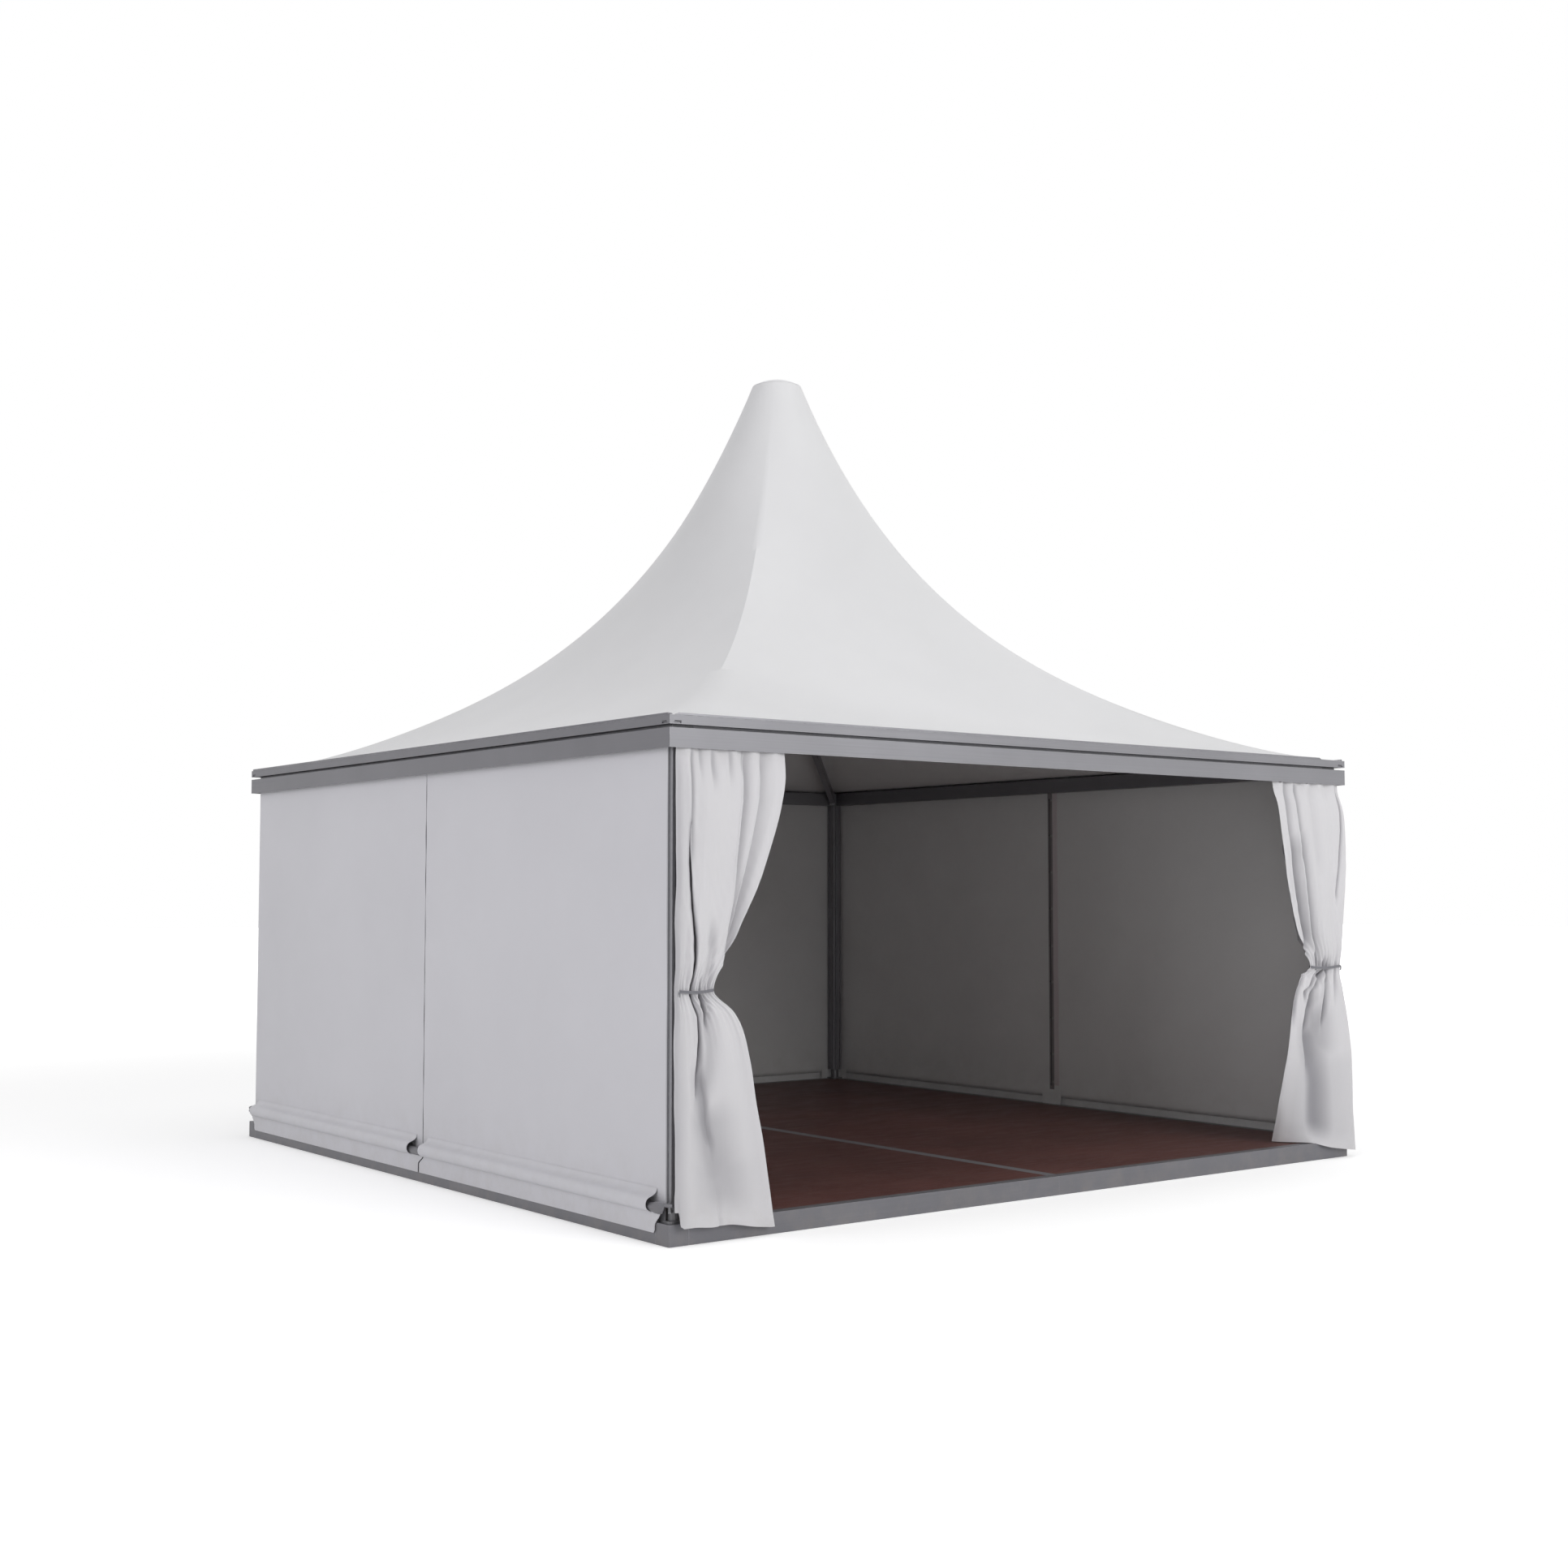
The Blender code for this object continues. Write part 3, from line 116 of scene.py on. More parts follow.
def copiesAlong(name, first, axis, shifts):
    # one piece made of copies of the first, each shifted along the axis
    bakePlace(first)
    copies = []
    for shift in shifts:
        copy = first.copy()
        copy.data = first.data.copy()
        copy.location[axis] = shift
        bpy.context.scene.collection.objects.link(copy)
        copies.append(copy)
    bpy.data.objects.remove(first, do_unlink=True)
    return joinPieces(name, copies)


def closeMesh():
    bpy.ops.mesh.select_all(action="SELECT")
    bpy.ops.mesh.normals_make_consistent(inside=False)
    bpy.ops.object.mode_set(mode="OBJECT")


def wireRing(start, centre, axis, wire, steps):
    # a small circle at the start, spun about the axis through the centre
    bpy.ops.object.select_all(action="DESELECT")
    bpy.ops.mesh.primitive_circle_add(vertices=8, radius=wire, location=start)
    bpy.ops.object.mode_set(mode="EDIT")
    bpy.ops.mesh.select_all(action="SELECT")
    bpy.ops.mesh.spin(steps=steps, angle=2 * math.pi, center=centre, axis=axis)
    bpy.ops.mesh.select_all(action="SELECT")
    bpy.ops.mesh.remove_doubles(threshold=0.00005)
    closeMesh()
    return bpy.context.object


def softBox(place, size, bevel, shape=None, turns=0):
    # a box with softened edges, turned about the tent's middle by quarter turns
    bpy.ops.object.select_all(action="DESELECT")
    bpy.ops.mesh.primitive_cube_add(size=1, location=place, scale=size)
    piece = bpy.context.object
    bakePlace(piece)
    if shape:
        shape(piece.data.vertices)
    bpy.ops.object.mode_set(mode="EDIT")
    bpy.ops.mesh.select_all(action="SELECT")
    bpy.ops.mesh.bevel(offset=bevel, segments=2, affect="EDGES")
    bpy.ops.mesh.select_all(action="SELECT")
    for _ in range(turns):
        bpy.ops.transform.rotate(value=-math.pi / 2, orient_axis="Z", center_override=(0, 0, 0))
    bpy.ops.object.mode_set(mode="OBJECT")
    return piece


def gridPiece(name, points, closed=False, evenMap=True, folds=None):
    # a sheet from rows of points; its map holds the flat cloth's metres
    points = np.asarray(points, float)
    grid = np.concatenate([points, points[:, :1]], 1) if closed else points
    rows, columns = points.shape[:2]
    index = np.arange(rows * columns).reshape(rows, columns)
    if closed:
        index = np.hstack([index, index[:, :1]])
    quads = np.stack([index[:-1, :-1], index[:-1, 1:], index[1:, 1:], index[1:, :-1]], -1).reshape(-1, 4)
    mesh = bpy.data.meshes.new(name)
    mesh.from_pydata(points.reshape(-1, 3).tolist(), [], quads.tolist())
    across = np.cumsum(np.pad(np.linalg.norm(np.diff(grid, axis=1), axis=2), ((0, 0), (1, 0))), axis=1)
    down = np.cumsum(np.pad(np.linalg.norm(np.diff(grid, axis=0), axis=2), ((1, 0), (0, 0))), axis=0)
    if evenMap:
        across = np.broadcast_to(across.mean(0), across.shape)
        down = np.broadcast_to(down.mean(1)[:, None], down.shape)
    else:
        across = across - across[:, -1:] / 2
    flat = np.stack([across, down], -1)
    loops = np.stack([flat[:-1, :-1], flat[:-1, 1:], flat[1:, 1:], flat[1:, :-1]], 2).reshape(-1, 2)
    layer = mesh.uv_layers.new(name="clothMap")
    layer.data.foreach_set("uv", loops.astype(np.float32).ravel())
    # the curtains' painted shade for their creases and slits, kept on each point for their material
    if folds is not None:
        held = mesh.attributes.new("foldDepth", "FLOAT", "POINT")
        held.data.foreach_set("value", folds.astype(np.float32).ravel())
    piece = bpy.data.objects.new(name, mesh)
    bpy.context.scene.collection.objects.link(piece)
    return piece


def sheetArea(piece):
    return sum(face.area for face in piece.data.polygons)


def reachAlong(points):
    # the distance from the line's start at each of its points
    return np.concatenate([[0], np.cumsum(np.linalg.norm(np.diff(points, axis=0), axis=1))])


def thicken(piece, thickness, offset=-1.0, lining=0):
    # the second side shows the material that comes next in the piece's list, when it has a lining
    wall = piece.modifiers.new("clothThickness", "SOLIDIFY")
    wall.thickness = thickness
    wall.offset = offset
    wall.material_offset = lining
    selectOnly(piece)
    bpy.ops.object.modifier_apply(modifier=wall.name)


def smoothStep(low, high, value):
    t = np.clip((np.asarray(value, float) - low) / (high - low), 0, 1)
    return t * t * (3 - 2 * t)


def hump(value, width, power=2):
    # 1 in the middle, dying out over the width
    return np.exp(-(value / width)**power)


def through(rows, heights):
    # each column of the rows at the heights, on a smooth curve through them
    rows = np.asarray(sorted(rows), float)
    heights = np.asarray(heights, float)
    known = rows[:, 0]
    slope = np.gradient(rows[:, 1:], known, axis=0)
    step = np.diff(rows[:, 1:], axis=0)
    slope[1:-1][step[1:] * step[:-1] <= 0] = 0   # no swing past a turning point
    i = np.clip(np.searchsorted(known, heights) - 1, 0, len(known) - 2)
    span = (known[i + 1] - known[i])[..., None]
    t = np.clip((heights - known[i])[..., None] / span, 0, 1)
    return ((2 * t**3 - 3 * t**2 + 1) * rows[i, 1:] + (t**3 - 2 * t**2 + t) * slope[i] * span
            + (3 * t**2 - 2 * t**3) * rows[i + 1, 1:] + (t**3 - t**2) * slope[i + 1] * span)


def ripple(a, b, seed, size):
    # gentle unevenness about 1 high, from seeded waves about size metres long
    waves = 9
    maker = np.random.default_rng(seed)
    total = np.zeros(np.broadcast(a, b).shape)
    for _ in range(waves):
        turn, phase = maker.uniform(0, math.pi), maker.uniform(0, 2 * math.pi)
        length = maker.uniform(0.6, 1.6) * size
        total = total + np.sin((a * math.cos(turn) + b * math.sin(turn)) * 2 * math.pi / length + phase)
    return total / math.sqrt(waves)


def toSide(side, t, n, z):
    # along the side, outwards from the middle, up: turned to that side of the tent
    t, n, z = np.broadcast_arrays(np.asarray(t, float), np.asarray(n, float), np.asarray(z, float))
    x, y = t, -n
    for _ in range(sides.index(side)):
        x, y = -y, x
    return np.stack([x, y, z], -1)


# materials
def addNode(tree, kind, place, values=None):
    # values named in capitals or by number are inputs, the others belong to the node itself
    node = tree.nodes.new("ShaderNode" + kind)
    node.location = place
    for key, value in (values or {}).items():
        if isinstance(key, int) or key[0].isupper():
            node.inputs[key].default_value = value
        else:
            setattr(node, key, value)
    return node


def addNodes(tree, rows):
    return {name: addNode(tree, *row) for name, row in rows.items()}


def connect(tree, nodes, *links):
    # each link reads "node.output > node.input, node.input", with the socket's name or number
    def socket(end, kind):
        name, key = end.split(".")
        return getattr(nodes[name], kind)[int(key) if key.isdigit() else key]

    for link in links:
        source, targets = link.split(" > ")
        for target in targets.split(", "):
            tree.links.new(socket(source, "outputs"), socket(target, "inputs"))


nodeGroups = {
    "plainWeave": {   # two crossing sets of threads, a little uneven
        "inputs": {"Thread": 262.0, "Uneven": 0.3},
        "outputs": ("Height", "Tone"),
        "nodes": {
            "warp": ("TexWave", (-600, 200), {"bands_direction": "X", "Distortion": 0.6, "Detail": 1.0}),
            "weft": ("TexWave", (-600, -100), {"bands_direction": "Y", "Distortion": 0.6, "Detail": 1.0}),
            "slub": ("TexNoise", (-600, -400), {"Scale": 60.0, "Detail": 3.0}),
            "both": ("Math", (-350, 100), {"operation": "ADD"}),
            "uneven": ("Math", (-350, -250), {"operation": "MULTIPLY"}),
            "height": ("Math", (-100, 0), {"operation": "ADD"}),
            "tone": ("MapRange", (200, -150),
                     {"From Min": 0.2, "From Max": 1.8, "To Min": 0.96, "To Max": 1.03}),
        },
        "links": (
            "start.Vector > warp.Vector, weft.Vector, slub.Vector", "start.Thread > warp.Scale, weft.Scale",
            "warp.Fac > both.0", "weft.Fac > both.1", "slub.Fac > uneven.0", "start.Uneven > uneven.1",
            "both.0 > height.0", "uneven.0 > height.1", "height.0 > tone.Value, end.Height",
            "tone.Result > end.Tone",
        ),
    },
    "softCloud": {   # broad, soft unevenness of a surface's tone
        "inputs": {"Size": 1.0, "Darkest": 0.9, "Lightest": 1.05},
        "outputs": ("Tone",),
        "nodes": {
            "cloud": ("TexNoise", (-500, 0), {"Detail": 5.0, "Roughness": 0.55}),
            "spread": ("MapRange", (-150, 0), {"From Min": 0.3, "From Max": 0.7}),
        },
        "links": (
            "start.Vector > cloud.Vector", "start.Size > cloud.Scale", "cloud.Fac > spread.Value",
            "start.Darkest > spread.To Min", "start.Lightest > spread.To Max", "spread.Result > end.Tone",
        ),
    },
    "rubbedEdges": {   # where a metal piece's edges have been rubbed
        "inputs": {"Reach": 0.003, "Grain": 40.0},
        "outputs": ("Mask",),
        "nodes": {
            "rounded": ("Bevel", (-600, 150), {"samples": 4}),
            "real": ("NewGeometry", (-600, -50)),
            "dot": ("VectorMath", (-350, 100), {"operation": "DOT_PRODUCT"}),
            "edge": ("MapRange", (-100, 100), {"From Min": 0.995, "From Max": 0.9}),
            "speck": ("TexNoise", (-350, -200), {"Detail": 6.0}),
            "broken": ("MapRange", (-100, -200), {"From Min": 0.4, "From Max": 0.6}),
            "both": ("Math", (200, 0), {"operation": "MULTIPLY"}),
        },
        "links": (
            "start.Reach > rounded.Radius", "rounded.Normal > dot.0", "real.Normal > dot.1",
            "dot.Value > edge.Value",
            "start.Vector > speck.Vector", "start.Grain > speck.Scale", "speck.Fac > broken.Value",
            "edge.Result > both.0", "broken.Result > both.1", "both.0 > end.Mask",
        ),
    },
    "splashedDust": {   # dust from the ground, from a lower to an upper height in metres
        "inputs": {"Low": 0.0, "High": 0.5},
        "outputs": ("Mask",),
        "nodes": {
            "parts": ("SeparateXYZ", (-600, 100)),
            "rise": ("MapRange", (-350, 100), {"To Min": 1.0, "To Max": 0.0}),
            "speck": ("TexNoise", (-600, -200), {"Scale": 9.0, "Detail": 8.0, "Roughness": 0.65}),
            "patch": ("MapRange", (-350, -200), {"From Min": 0.42, "From Max": 0.75}),
            "both": ("Math", (0, 0), {"operation": "MULTIPLY"}),
        },
        "links": (
            "start.Vector > parts.0, speck.Vector", "parts.Z > rise.Value", "start.Low > rise.From Min",
            "start.High > rise.From Max", "speck.Fac > patch.Value", "rise.Result > both.0",
            "patch.Result > both.1", "both.0 > end.Mask",
        ),
    },
}


def makeGroup(name):
    wanted = nodeGroups[name]
    tree = bpy.data.node_groups.new(name, "ShaderNodeTree")
    tree.interface.new_socket("Vector", in_out="INPUT", socket_type="NodeSocketVector")
    for label, value in wanted["inputs"].items():
        entry = tree.interface.new_socket(label, in_out="INPUT", socket_type="NodeSocketFloat")
        entry.default_value = value
    for label in wanted["outputs"]:
        tree.interface.new_socket(label, in_out="OUTPUT", socket_type="NodeSocketFloat")
    nodes = addNodes(tree, wanted["nodes"])
    for end, kind, place in (("start", "NodeGroupInput", (-900, 0)), ("end", "NodeGroupOutput", (700, 0))):
        nodes[end] = tree.nodes.new(kind)
        nodes[end].location = place
    connect(tree, nodes, *wanted["links"])
    return tree


groups = {name: makeGroup(name) for name in nodeGroups}


def useGroup(name, place, **inputs):
    return "Group", place, {"node_tree": groups[name], **inputs}


def newMaterial(name, shine, rows):
    material = bpy.data.materials.new(name)
    material.use_nodes = True
    tree = material.node_tree
    shader = tree.nodes["Principled BSDF"]
    shader.location = (600, 0)
    tree.nodes["Material Output"].location = (900, 0)
    for key, value in shine.items():
        shader.inputs[key].default_value = value
    nodes = addNodes(tree, rows)
    nodes["shader"] = shader
    return material, tree, nodes


def mixColors(tree, place, mask, a, b, kind="MIX"):
    # the mask and the colours are sockets or plain values
    mix = addNode(tree, "Mix", place, {"data_type": "RGBA", "blend_type": kind})
    for key, value in ((0, mask), (6, a), (7, b)):
        if hasattr(value, "is_linked"):
            tree.links.new(value, mix.inputs[key])
        else:
            mix.inputs[key].default_value = (*value, 1) if key else value
    return mix.outputs[2]


def clothMaterial(name, color, soiled, shine, thread=262.0, depth=0.00012, dust=0.45, onMap=True,
                  folded=None):
    material, tree, nodes = newMaterial(name, shine, {
        "place": ("TexCoord", (-1000, 0)),
        "weave": useGroup("plainWeave", (-700, -300), Thread=thread),
        "tones": useGroup("softCloud", (-700, 0), Size=0.7, Darkest=0.96, Lightest=1.03),
        "splash": useGroup("splashedDust", (-700, 250), High=dust),
        "soft": ("Math", (-450, 250), {"operation": "MULTIPLY", 1: 0.35}),
        "bump": ("Bump", (300, -250), {"Strength": 0.5, "Distance": depth}),
    })
    connect(tree, nodes, "place." + ("UV" if onMap else "Object") + " > weave.Vector",
            "place.Object > tones.Vector, splash.Vector", "splash.Mask > soft.0",
            "weave.Height > bump.Height", "bump.Normal > shader.Normal")
    base = mixColors(tree, (-200, 200), nodes["soft"].outputs[0], color, soiled)
    if folded:
        # painted shade: the curtains' creases and slits are darkened towards a dark lilac grey
        folds = addNode(tree, "Attribute", (-450, 450), {"attribute_name": "foldDepth"})
        base = mixColors(tree, (-100, 350), folds.outputs["Fac"], base, folded)
    base = mixColors(tree, (50, 150), 1.0, base, nodes["tones"].outputs["Tone"], "MULTIPLY")
    base = mixColors(tree, (300, 100), 1.0, base, nodes["weave"].outputs["Tone"], "MULTIPLY")
    tree.links.new(base, nodes["shader"].inputs["Base Color"])
    return material


def metalMaterial(name, color, worn, shine, roughness, along=None, lines=(0.94, 1.04), grain=0.00006):
    # extruded metal has fine lines along its length; cast metal has an even grain
    spread = {"From Min": 0.3, "From Max": 0.7}
    material, tree, nodes = newMaterial(name, shine, {
        "place": ("TexCoord", (-1200, 0)),
        "stretch": ("Mapping", (-1000, 0), {"Scale": [0.6 if axis == along else 130.0 for axis in "XYZ"]}),
        "drawn": ("TexNoise", (-750, 100), {"Scale": 1.0, "Detail": 4.0, "Roughness": 0.6}),
        "clouds": useGroup("softCloud", (-750, -200), Size=2.3, Darkest=0.93, Lightest=1.04),
        "rubbed": useGroup("rubbedEdges", (-750, -450)),
        "splash": useGroup("splashedDust", (-750, 400), High=0.3),
        "tone": ("MapRange", (-450, 100), {**spread, "To Min": lines[0], "To Max": lines[1]}),
        "rough": ("MapRange", (-450, -100), {**spread, "To Min": roughness[0], "To Max": roughness[1]}),
        "dusty": ("Math", (-450, 400), {"operation": "MULTIPLY", 1: 0.3}),
        "bump": ("Bump", (300, -250), {"Strength": 0.4, "Distance": grain}),
    })
    connect(tree, nodes, "place.Object > stretch.Vector, clouds.Vector, rubbed.Vector, splash.Vector",
            "stretch.Vector > drawn.Vector", "drawn.Fac > tone.Value, rough.Value, bump.Height",
            "splash.Mask > dusty.0", "rough.Result > shader.Roughness", "bump.Normal > shader.Normal")
    base = mixColors(tree, (-200, 200), nodes["rubbed"].outputs["Mask"], color, worn)
    base = mixColors(tree, (0, 250), nodes["dusty"].outputs[0], base, dustColor)
    base = mixColors(tree, (200, 150), 1.0, base, nodes["tone"].outputs["Result"], "MULTIPLY")
    base = mixColors(tree, (400, 100), 1.0, base, nodes["clouds"].outputs["Tone"], "MULTIPLY")
    tree.links.new(base, nodes["shader"].inputs["Base Color"])
    return material


def boardMaterial(name, color, dark, edge, scuffColor):
    # film-faced plywood: a pressed net pattern, scuffed lighter where people walk
    material, tree, nodes = newMaterial(name, {"Specular IOR Level": 0.45}, {
        "place": ("TexCoord", (-1200, 0)),
        "netA": ("TexWave", (-800, 200), {"bands_direction": "X", "Scale": 60.0}),
        "netB": ("TexWave", (-800, 0), {"bands_direction": "Y", "Scale": 60.0}),
        "net": ("Math", (-600, 100), {"operation": "MULTIPLY"}),
        "stretch": ("Mapping", (-1000, -300), {"Rotation": (0, 0, 0.5), "Scale": (2.0, 7.0, 2.0)}),
        "scuff": ("TexNoise", (-800, -300), {"Scale": 2.0, "Detail": 9.0, "Roughness": 0.7}),
        "scuffed": ("MapRange", (-600, -300),
                    {"From Min": 0.52, "From Max": 0.75, "To Min": 0.0, "To Max": 0.35}),
        "clouds": useGroup("softCloud", (-800, -550), Size=1.4, Darkest=0.82, Lightest=1.15),
        "faces": ("NewGeometry", (-300, 600)),
        "parts": ("SeparateXYZ", (-100, 600)),
        "upright": ("MapRange", (100, 600), {"From Min": 0.7, "From Max": 0.4}),
        "rough": ("MapRange", (200, -150), {"From Min": 0.3, "From Max": 0.7, "To Min": 0.38, "To Max": 0.6}),
        "bump": ("Bump", (300, -350), {"Strength": 0.5, "Distance": 0.0003}),
    })
    connect(tree, nodes, "place.Object > netA.Vector, netB.Vector, stretch.Vector, clouds.Vector",
            "netA.Fac > net.0", "netB.Fac > net.1", "stretch.Vector > scuff.Vector",
            "scuff.Fac > scuffed.Value, rough.Value", "faces.Normal > parts.0", "parts.Z > upright.Value",
            "rough.Result > shader.Roughness", "net.0 > bump.Height", "bump.Normal > shader.Normal")
    base = mixColors(tree, (-300, 200), nodes["net"].outputs[0], dark, color)
    base = mixColors(tree, (-50, 100), nodes["scuffed"].outputs["Result"], base, scuffColor)
    base = mixColors(tree, (200, 50), 1.0, base, nodes["clouds"].outputs["Tone"], "MULTIPLY")
    base = mixColors(tree, (350, 300), nodes["upright"].outputs["Result"], base, edge)   # upright faces near black
    tree.links.new(base, nodes["shader"].inputs["Base Color"])
    return material


dustColor = (0.32, 0.29, 0.26)
membraneShine = {"Specular IOR Level": 0.4, "Coat Weight": 0.05}
profileShine = {"Metallic": 0.35, "Specular IOR Level": 0.5}
cloths = {
    "roofMembrane": {"color": (0.73, 0.73, 0.74), "soiled": (0.6, 0.58, 0.54), "dust": 0.1,
                     "shine": {"Roughness": 0.52, **membraneShine}},
    "wallMembrane": {"color": (0.72, 0.716, 0.75), "soiled": (0.55, 0.53, 0.5), "dust": 0.5,
                     "shine": {"Roughness": 0.5, **membraneShine}},
    "greyLining": {"color": (0.75, 0.75, 0.75), "soiled": (0.55, 0.53, 0.5), "dust": 0.5,
                   "shine": {"Roughness": 0.6, "Specular IOR Level": 0.3}},
    # the curtain's crease colour is painted shade for its creases and slits
    "curtainCloth": {"color": (0.74, 0.73, 0.75), "soiled": (0.56, 0.54, 0.51), "folded": (0.25, 0.245, 0.27),
                     "thread": 420.0, "depth": 0.0002, "dust": 0.3,
                     "shine": {"Roughness": 0.75, "Specular IOR Level": 0.25, "Sheen Weight": 0.25,
                               "Sheen Roughness": 0.4}},
    "laceCord": {"color": (0.08, 0.074, 0.078), "soiled": (0.1, 0.09, 0.085),
                 "thread": 900.0, "depth": 0.0004, "shine": {"Roughness": 0.8, "Sheen Weight": 0.2}},
    "tieBand": {"color": (0.19, 0.19, 0.21), "soiled": (0.14, 0.13, 0.12), "thread": 700.0, "depth": 0.0003,
                "shine": {"Roughness": 0.7, "Sheen Weight": 0.2}},
    "seamStrip": {"color": (0.66, 0.605, 0.62), "soiled": (0.45, 0.41, 0.38),
                  "shine": {"Roughness": 0.6, "Specular IOR Level": 0.3}},
    "capPlastic": {"color": (0.70, 0.70, 0.715), "soiled": (0.56, 0.54, 0.5), "onMap": False,
                   "thread": 90.0, "depth": 0.00003,
                   "shine": {"Roughness": 0.45, "Specular IOR Level": 0.45}},
    "kederEdge": {"color": (0.2, 0.2, 0.215), "soiled": (0.16, 0.15, 0.14), "shine": {"Roughness": 0.55}},
    "seamFlap": {"color": (0.29, 0.265, 0.275), "soiled": (0.16, 0.15, 0.14), "shine": {"Roughness": 0.6}},
    # near black: painted shade for the rails' end slots and behind the seams' gaps
    "slotPlug": {"color": (0.035, 0.034, 0.04), "soiled": (0.06, 0.055, 0.05), "onMap": False,
                 "thread": 90.0, "depth": 0.00003, "shine": {"Roughness": 0.6}},
}
metals = {
    "extruded": {"color": (0.27, 0.268, 0.287), "worn": (0.42, 0.42, 0.44), "roughness": (0.38, 0.5),
                 "shine": profileShine, "axes": "XYZ"},
    # a darker copy of the extruded metal for the pieces on the left and right sides: painted shade
    "extrudedSide": {"color": (0.18, 0.178, 0.194), "worn": (0.34, 0.34, 0.36), "roughness": (0.38, 0.5),
                     "shine": profileShine, "along": "Y"},
    "floorFrame": {"color": (0.178, 0.177, 0.194), "worn": (0.36, 0.36, 0.38), "roughness": (0.42, 0.55),
                   "shine": profileShine, "axes": "XYZ"},
    "castFitting": {"color": (0.2, 0.2, 0.21), "worn": (0.5, 0.5, 0.52), "roughness": (0.45, 0.6),
                    "shine": {"Metallic": 0.7}, "lines": (0.88, 1.1), "grain": 0.0002},
    "zincRing": {"color": (0.5, 0.5, 0.5), "worn": (0.7, 0.7, 0.7), "roughness": (0.3, 0.45),
                 "shine": {"Metallic": 0.9}, "grain": 0.00002},
    "zincBolt": {"color": (0.5, 0.5, 0.5), "worn": (0.7, 0.7, 0.7), "roughness": (0.25, 0.4),
                 "shine": {"Metallic": 0.9}},
}
board = {"color": (0.165, 0.054, 0.044), "dark": (0.085, 0.032, 0.027), "edge": (0.012, 0.010, 0.010),
         "scuffColor": (0.2, 0.13, 0.11)}

look = {name: clothMaterial(name, **cloth) for name, cloth in cloths.items()}
for name, metal in metals.items():
    axes = metal.pop("axes", None)
    for axis in axes or [None]:
        # a profile's lines run along its own axis, so it has one metal for each
        turned = {"along": axis} if axes else {}
        look[name + (axis or "")] = metalMaterial(name + (axis or ""), **metal, **turned)
look["filmFacedPlywood"] = boardMaterial("filmFacedPlywood", **board)
print("materials made")

# the frame's own pieces get their finishes, by how their names start
nodeFinish = {
    "base_beam_front": "floorFrameX", "base_beam_back": "floorFrameX", "base_beam_left": "floorFrameY",
    "base_beam_right": "floorFrameY", "base_corner": "floorFrameZ", "floor_joist_centre": "extrudedY",
    "floor_joist": "extrudedX", "floor_board": "filmFacedPlywood", "post_foot": "castFitting",
    "post_": "extrudedZ", "eave_beam_front": "extrudedX", "eave_beam_back": "extrudedX",
    # the side eave beams and tension tubes take the darker copy of the metal, painted shade
    "eave_beam": "extrudedSide", "corner_bracket": "castFitting", "rafter_hub": "castFitting",
    "rafter_": "extrudedX", "hub_clamp_bolt": "zincBolt", "mast_crown": "castFitting", "mast": "extrudedZ",
    "tension_tube_back": "extrudedX", "tension_tube": "extrudedSide", "curtain_rail": "extrudedX",
}
for name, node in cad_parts.items():
    finish = next((nodeFinish[start] for start in nodeFinish if name.startswith(start)), "wallMembrane")
    node.data.materials.clear()
    node.data.materials.append(look[finish])
print("frame finished")

# roof membrane: one sheet, square at the eave and round at the peak
roof = {
    "eaveHalf": 2.5,
    "eaveHeight": 2.4293,
    "shoulderHeight": 4.902,
    "shoulderRadius": 0.1605,
    "pulls": ((0.0, 0.0), (0.251, 0.024), (0.397, 0.190), (0.754, 0.177), (1.0, 1.0)),
    "rows": 96,
    "sideSteps": 44,
    "thickness": 0.003,
    "wrinkle": 0.0016,
    "wrinkleAcross": (0.45, 0.95),
    "wrinkleUp": (0.42, 0.06),
    "wrinkleWaves": (58, 23),
}


def roofSection(t, turn):
    # turn counts quarter turns from the middle of the right side
    share = [math.comb(4, i) * (1 - t) ** (4 - i) * t**i for i in range(5)]
    inward = sum(part * pull[0] for part, pull in zip(share, roof["pulls"]))
    upward = sum(part * pull[1] for part, pull in zip(share, roof["pulls"]))
    half = roof["eaveHalf"] + (roof["shoulderRadius"] / math.sqrt(2) - roof["eaveHalf"]) * inward
    height = roof["eaveHeight"] + (roof["shoulderHeight"] - roof["eaveHeight"]) * upward
    roundness = upward * upward * (3 - 2 * upward)
    quarter = np.floor(turn + 0.5)
    angle = (turn - quarter) * math.pi / 2
    along = half * ((1 - roundness) * np.tan(angle) + roundness * math.sqrt(2) * np.sin(angle))
    out = half * ((1 - roundness) + roundness * math.sqrt(2) * np.cos(angle))
    spin = quarter * math.pi / 2
    return np.stack([out * np.cos(spin) - along * np.sin(spin), out * np.sin(spin) + along * np.cos(spin),
                     height + 0 * angle], -1)


def makeRoof():
    around = roof["sideSteps"] * 4
    turn = np.arange(around) / around * 4 - 0.5
    t = (np.arange(roof["rows"] + 1) / roof["rows"])[:, None]
    points = roofSection(t, turn[None, :])
    # tight streaks run up from the low corners and die out
    across = np.abs((turn + 0.5) % 1 - 0.5) * 2
    near = smoothStep(*roof["wrinkleAcross"], across)[None, :] * smoothStep(*roof["wrinkleUp"], t) \
        * smoothStep(0.0, 0.03, t)
    fine, broad = roof["wrinkleWaves"]
    streak = np.sin(across * fine + np.floor(turn + 0.5) * 1.7)[None, :] \
        * (0.6 + 0.4 * np.sin(across * broad + 1))[None, :]
    points[..., 2] += near * streak * roof["wrinkle"]
    piece = gridPiece("roof_sheet", points, closed=True, evenMap=False)
    addMaterials(piece, "roofMembrane", "greyLining")
    thicken(piece, roof["thickness"], lining=1)
    smoothPiece(piece, 40)
    settle(piece, "tent", None, ["roof_gore_" + side for side in sides])
    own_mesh(piece)


makeRoof()

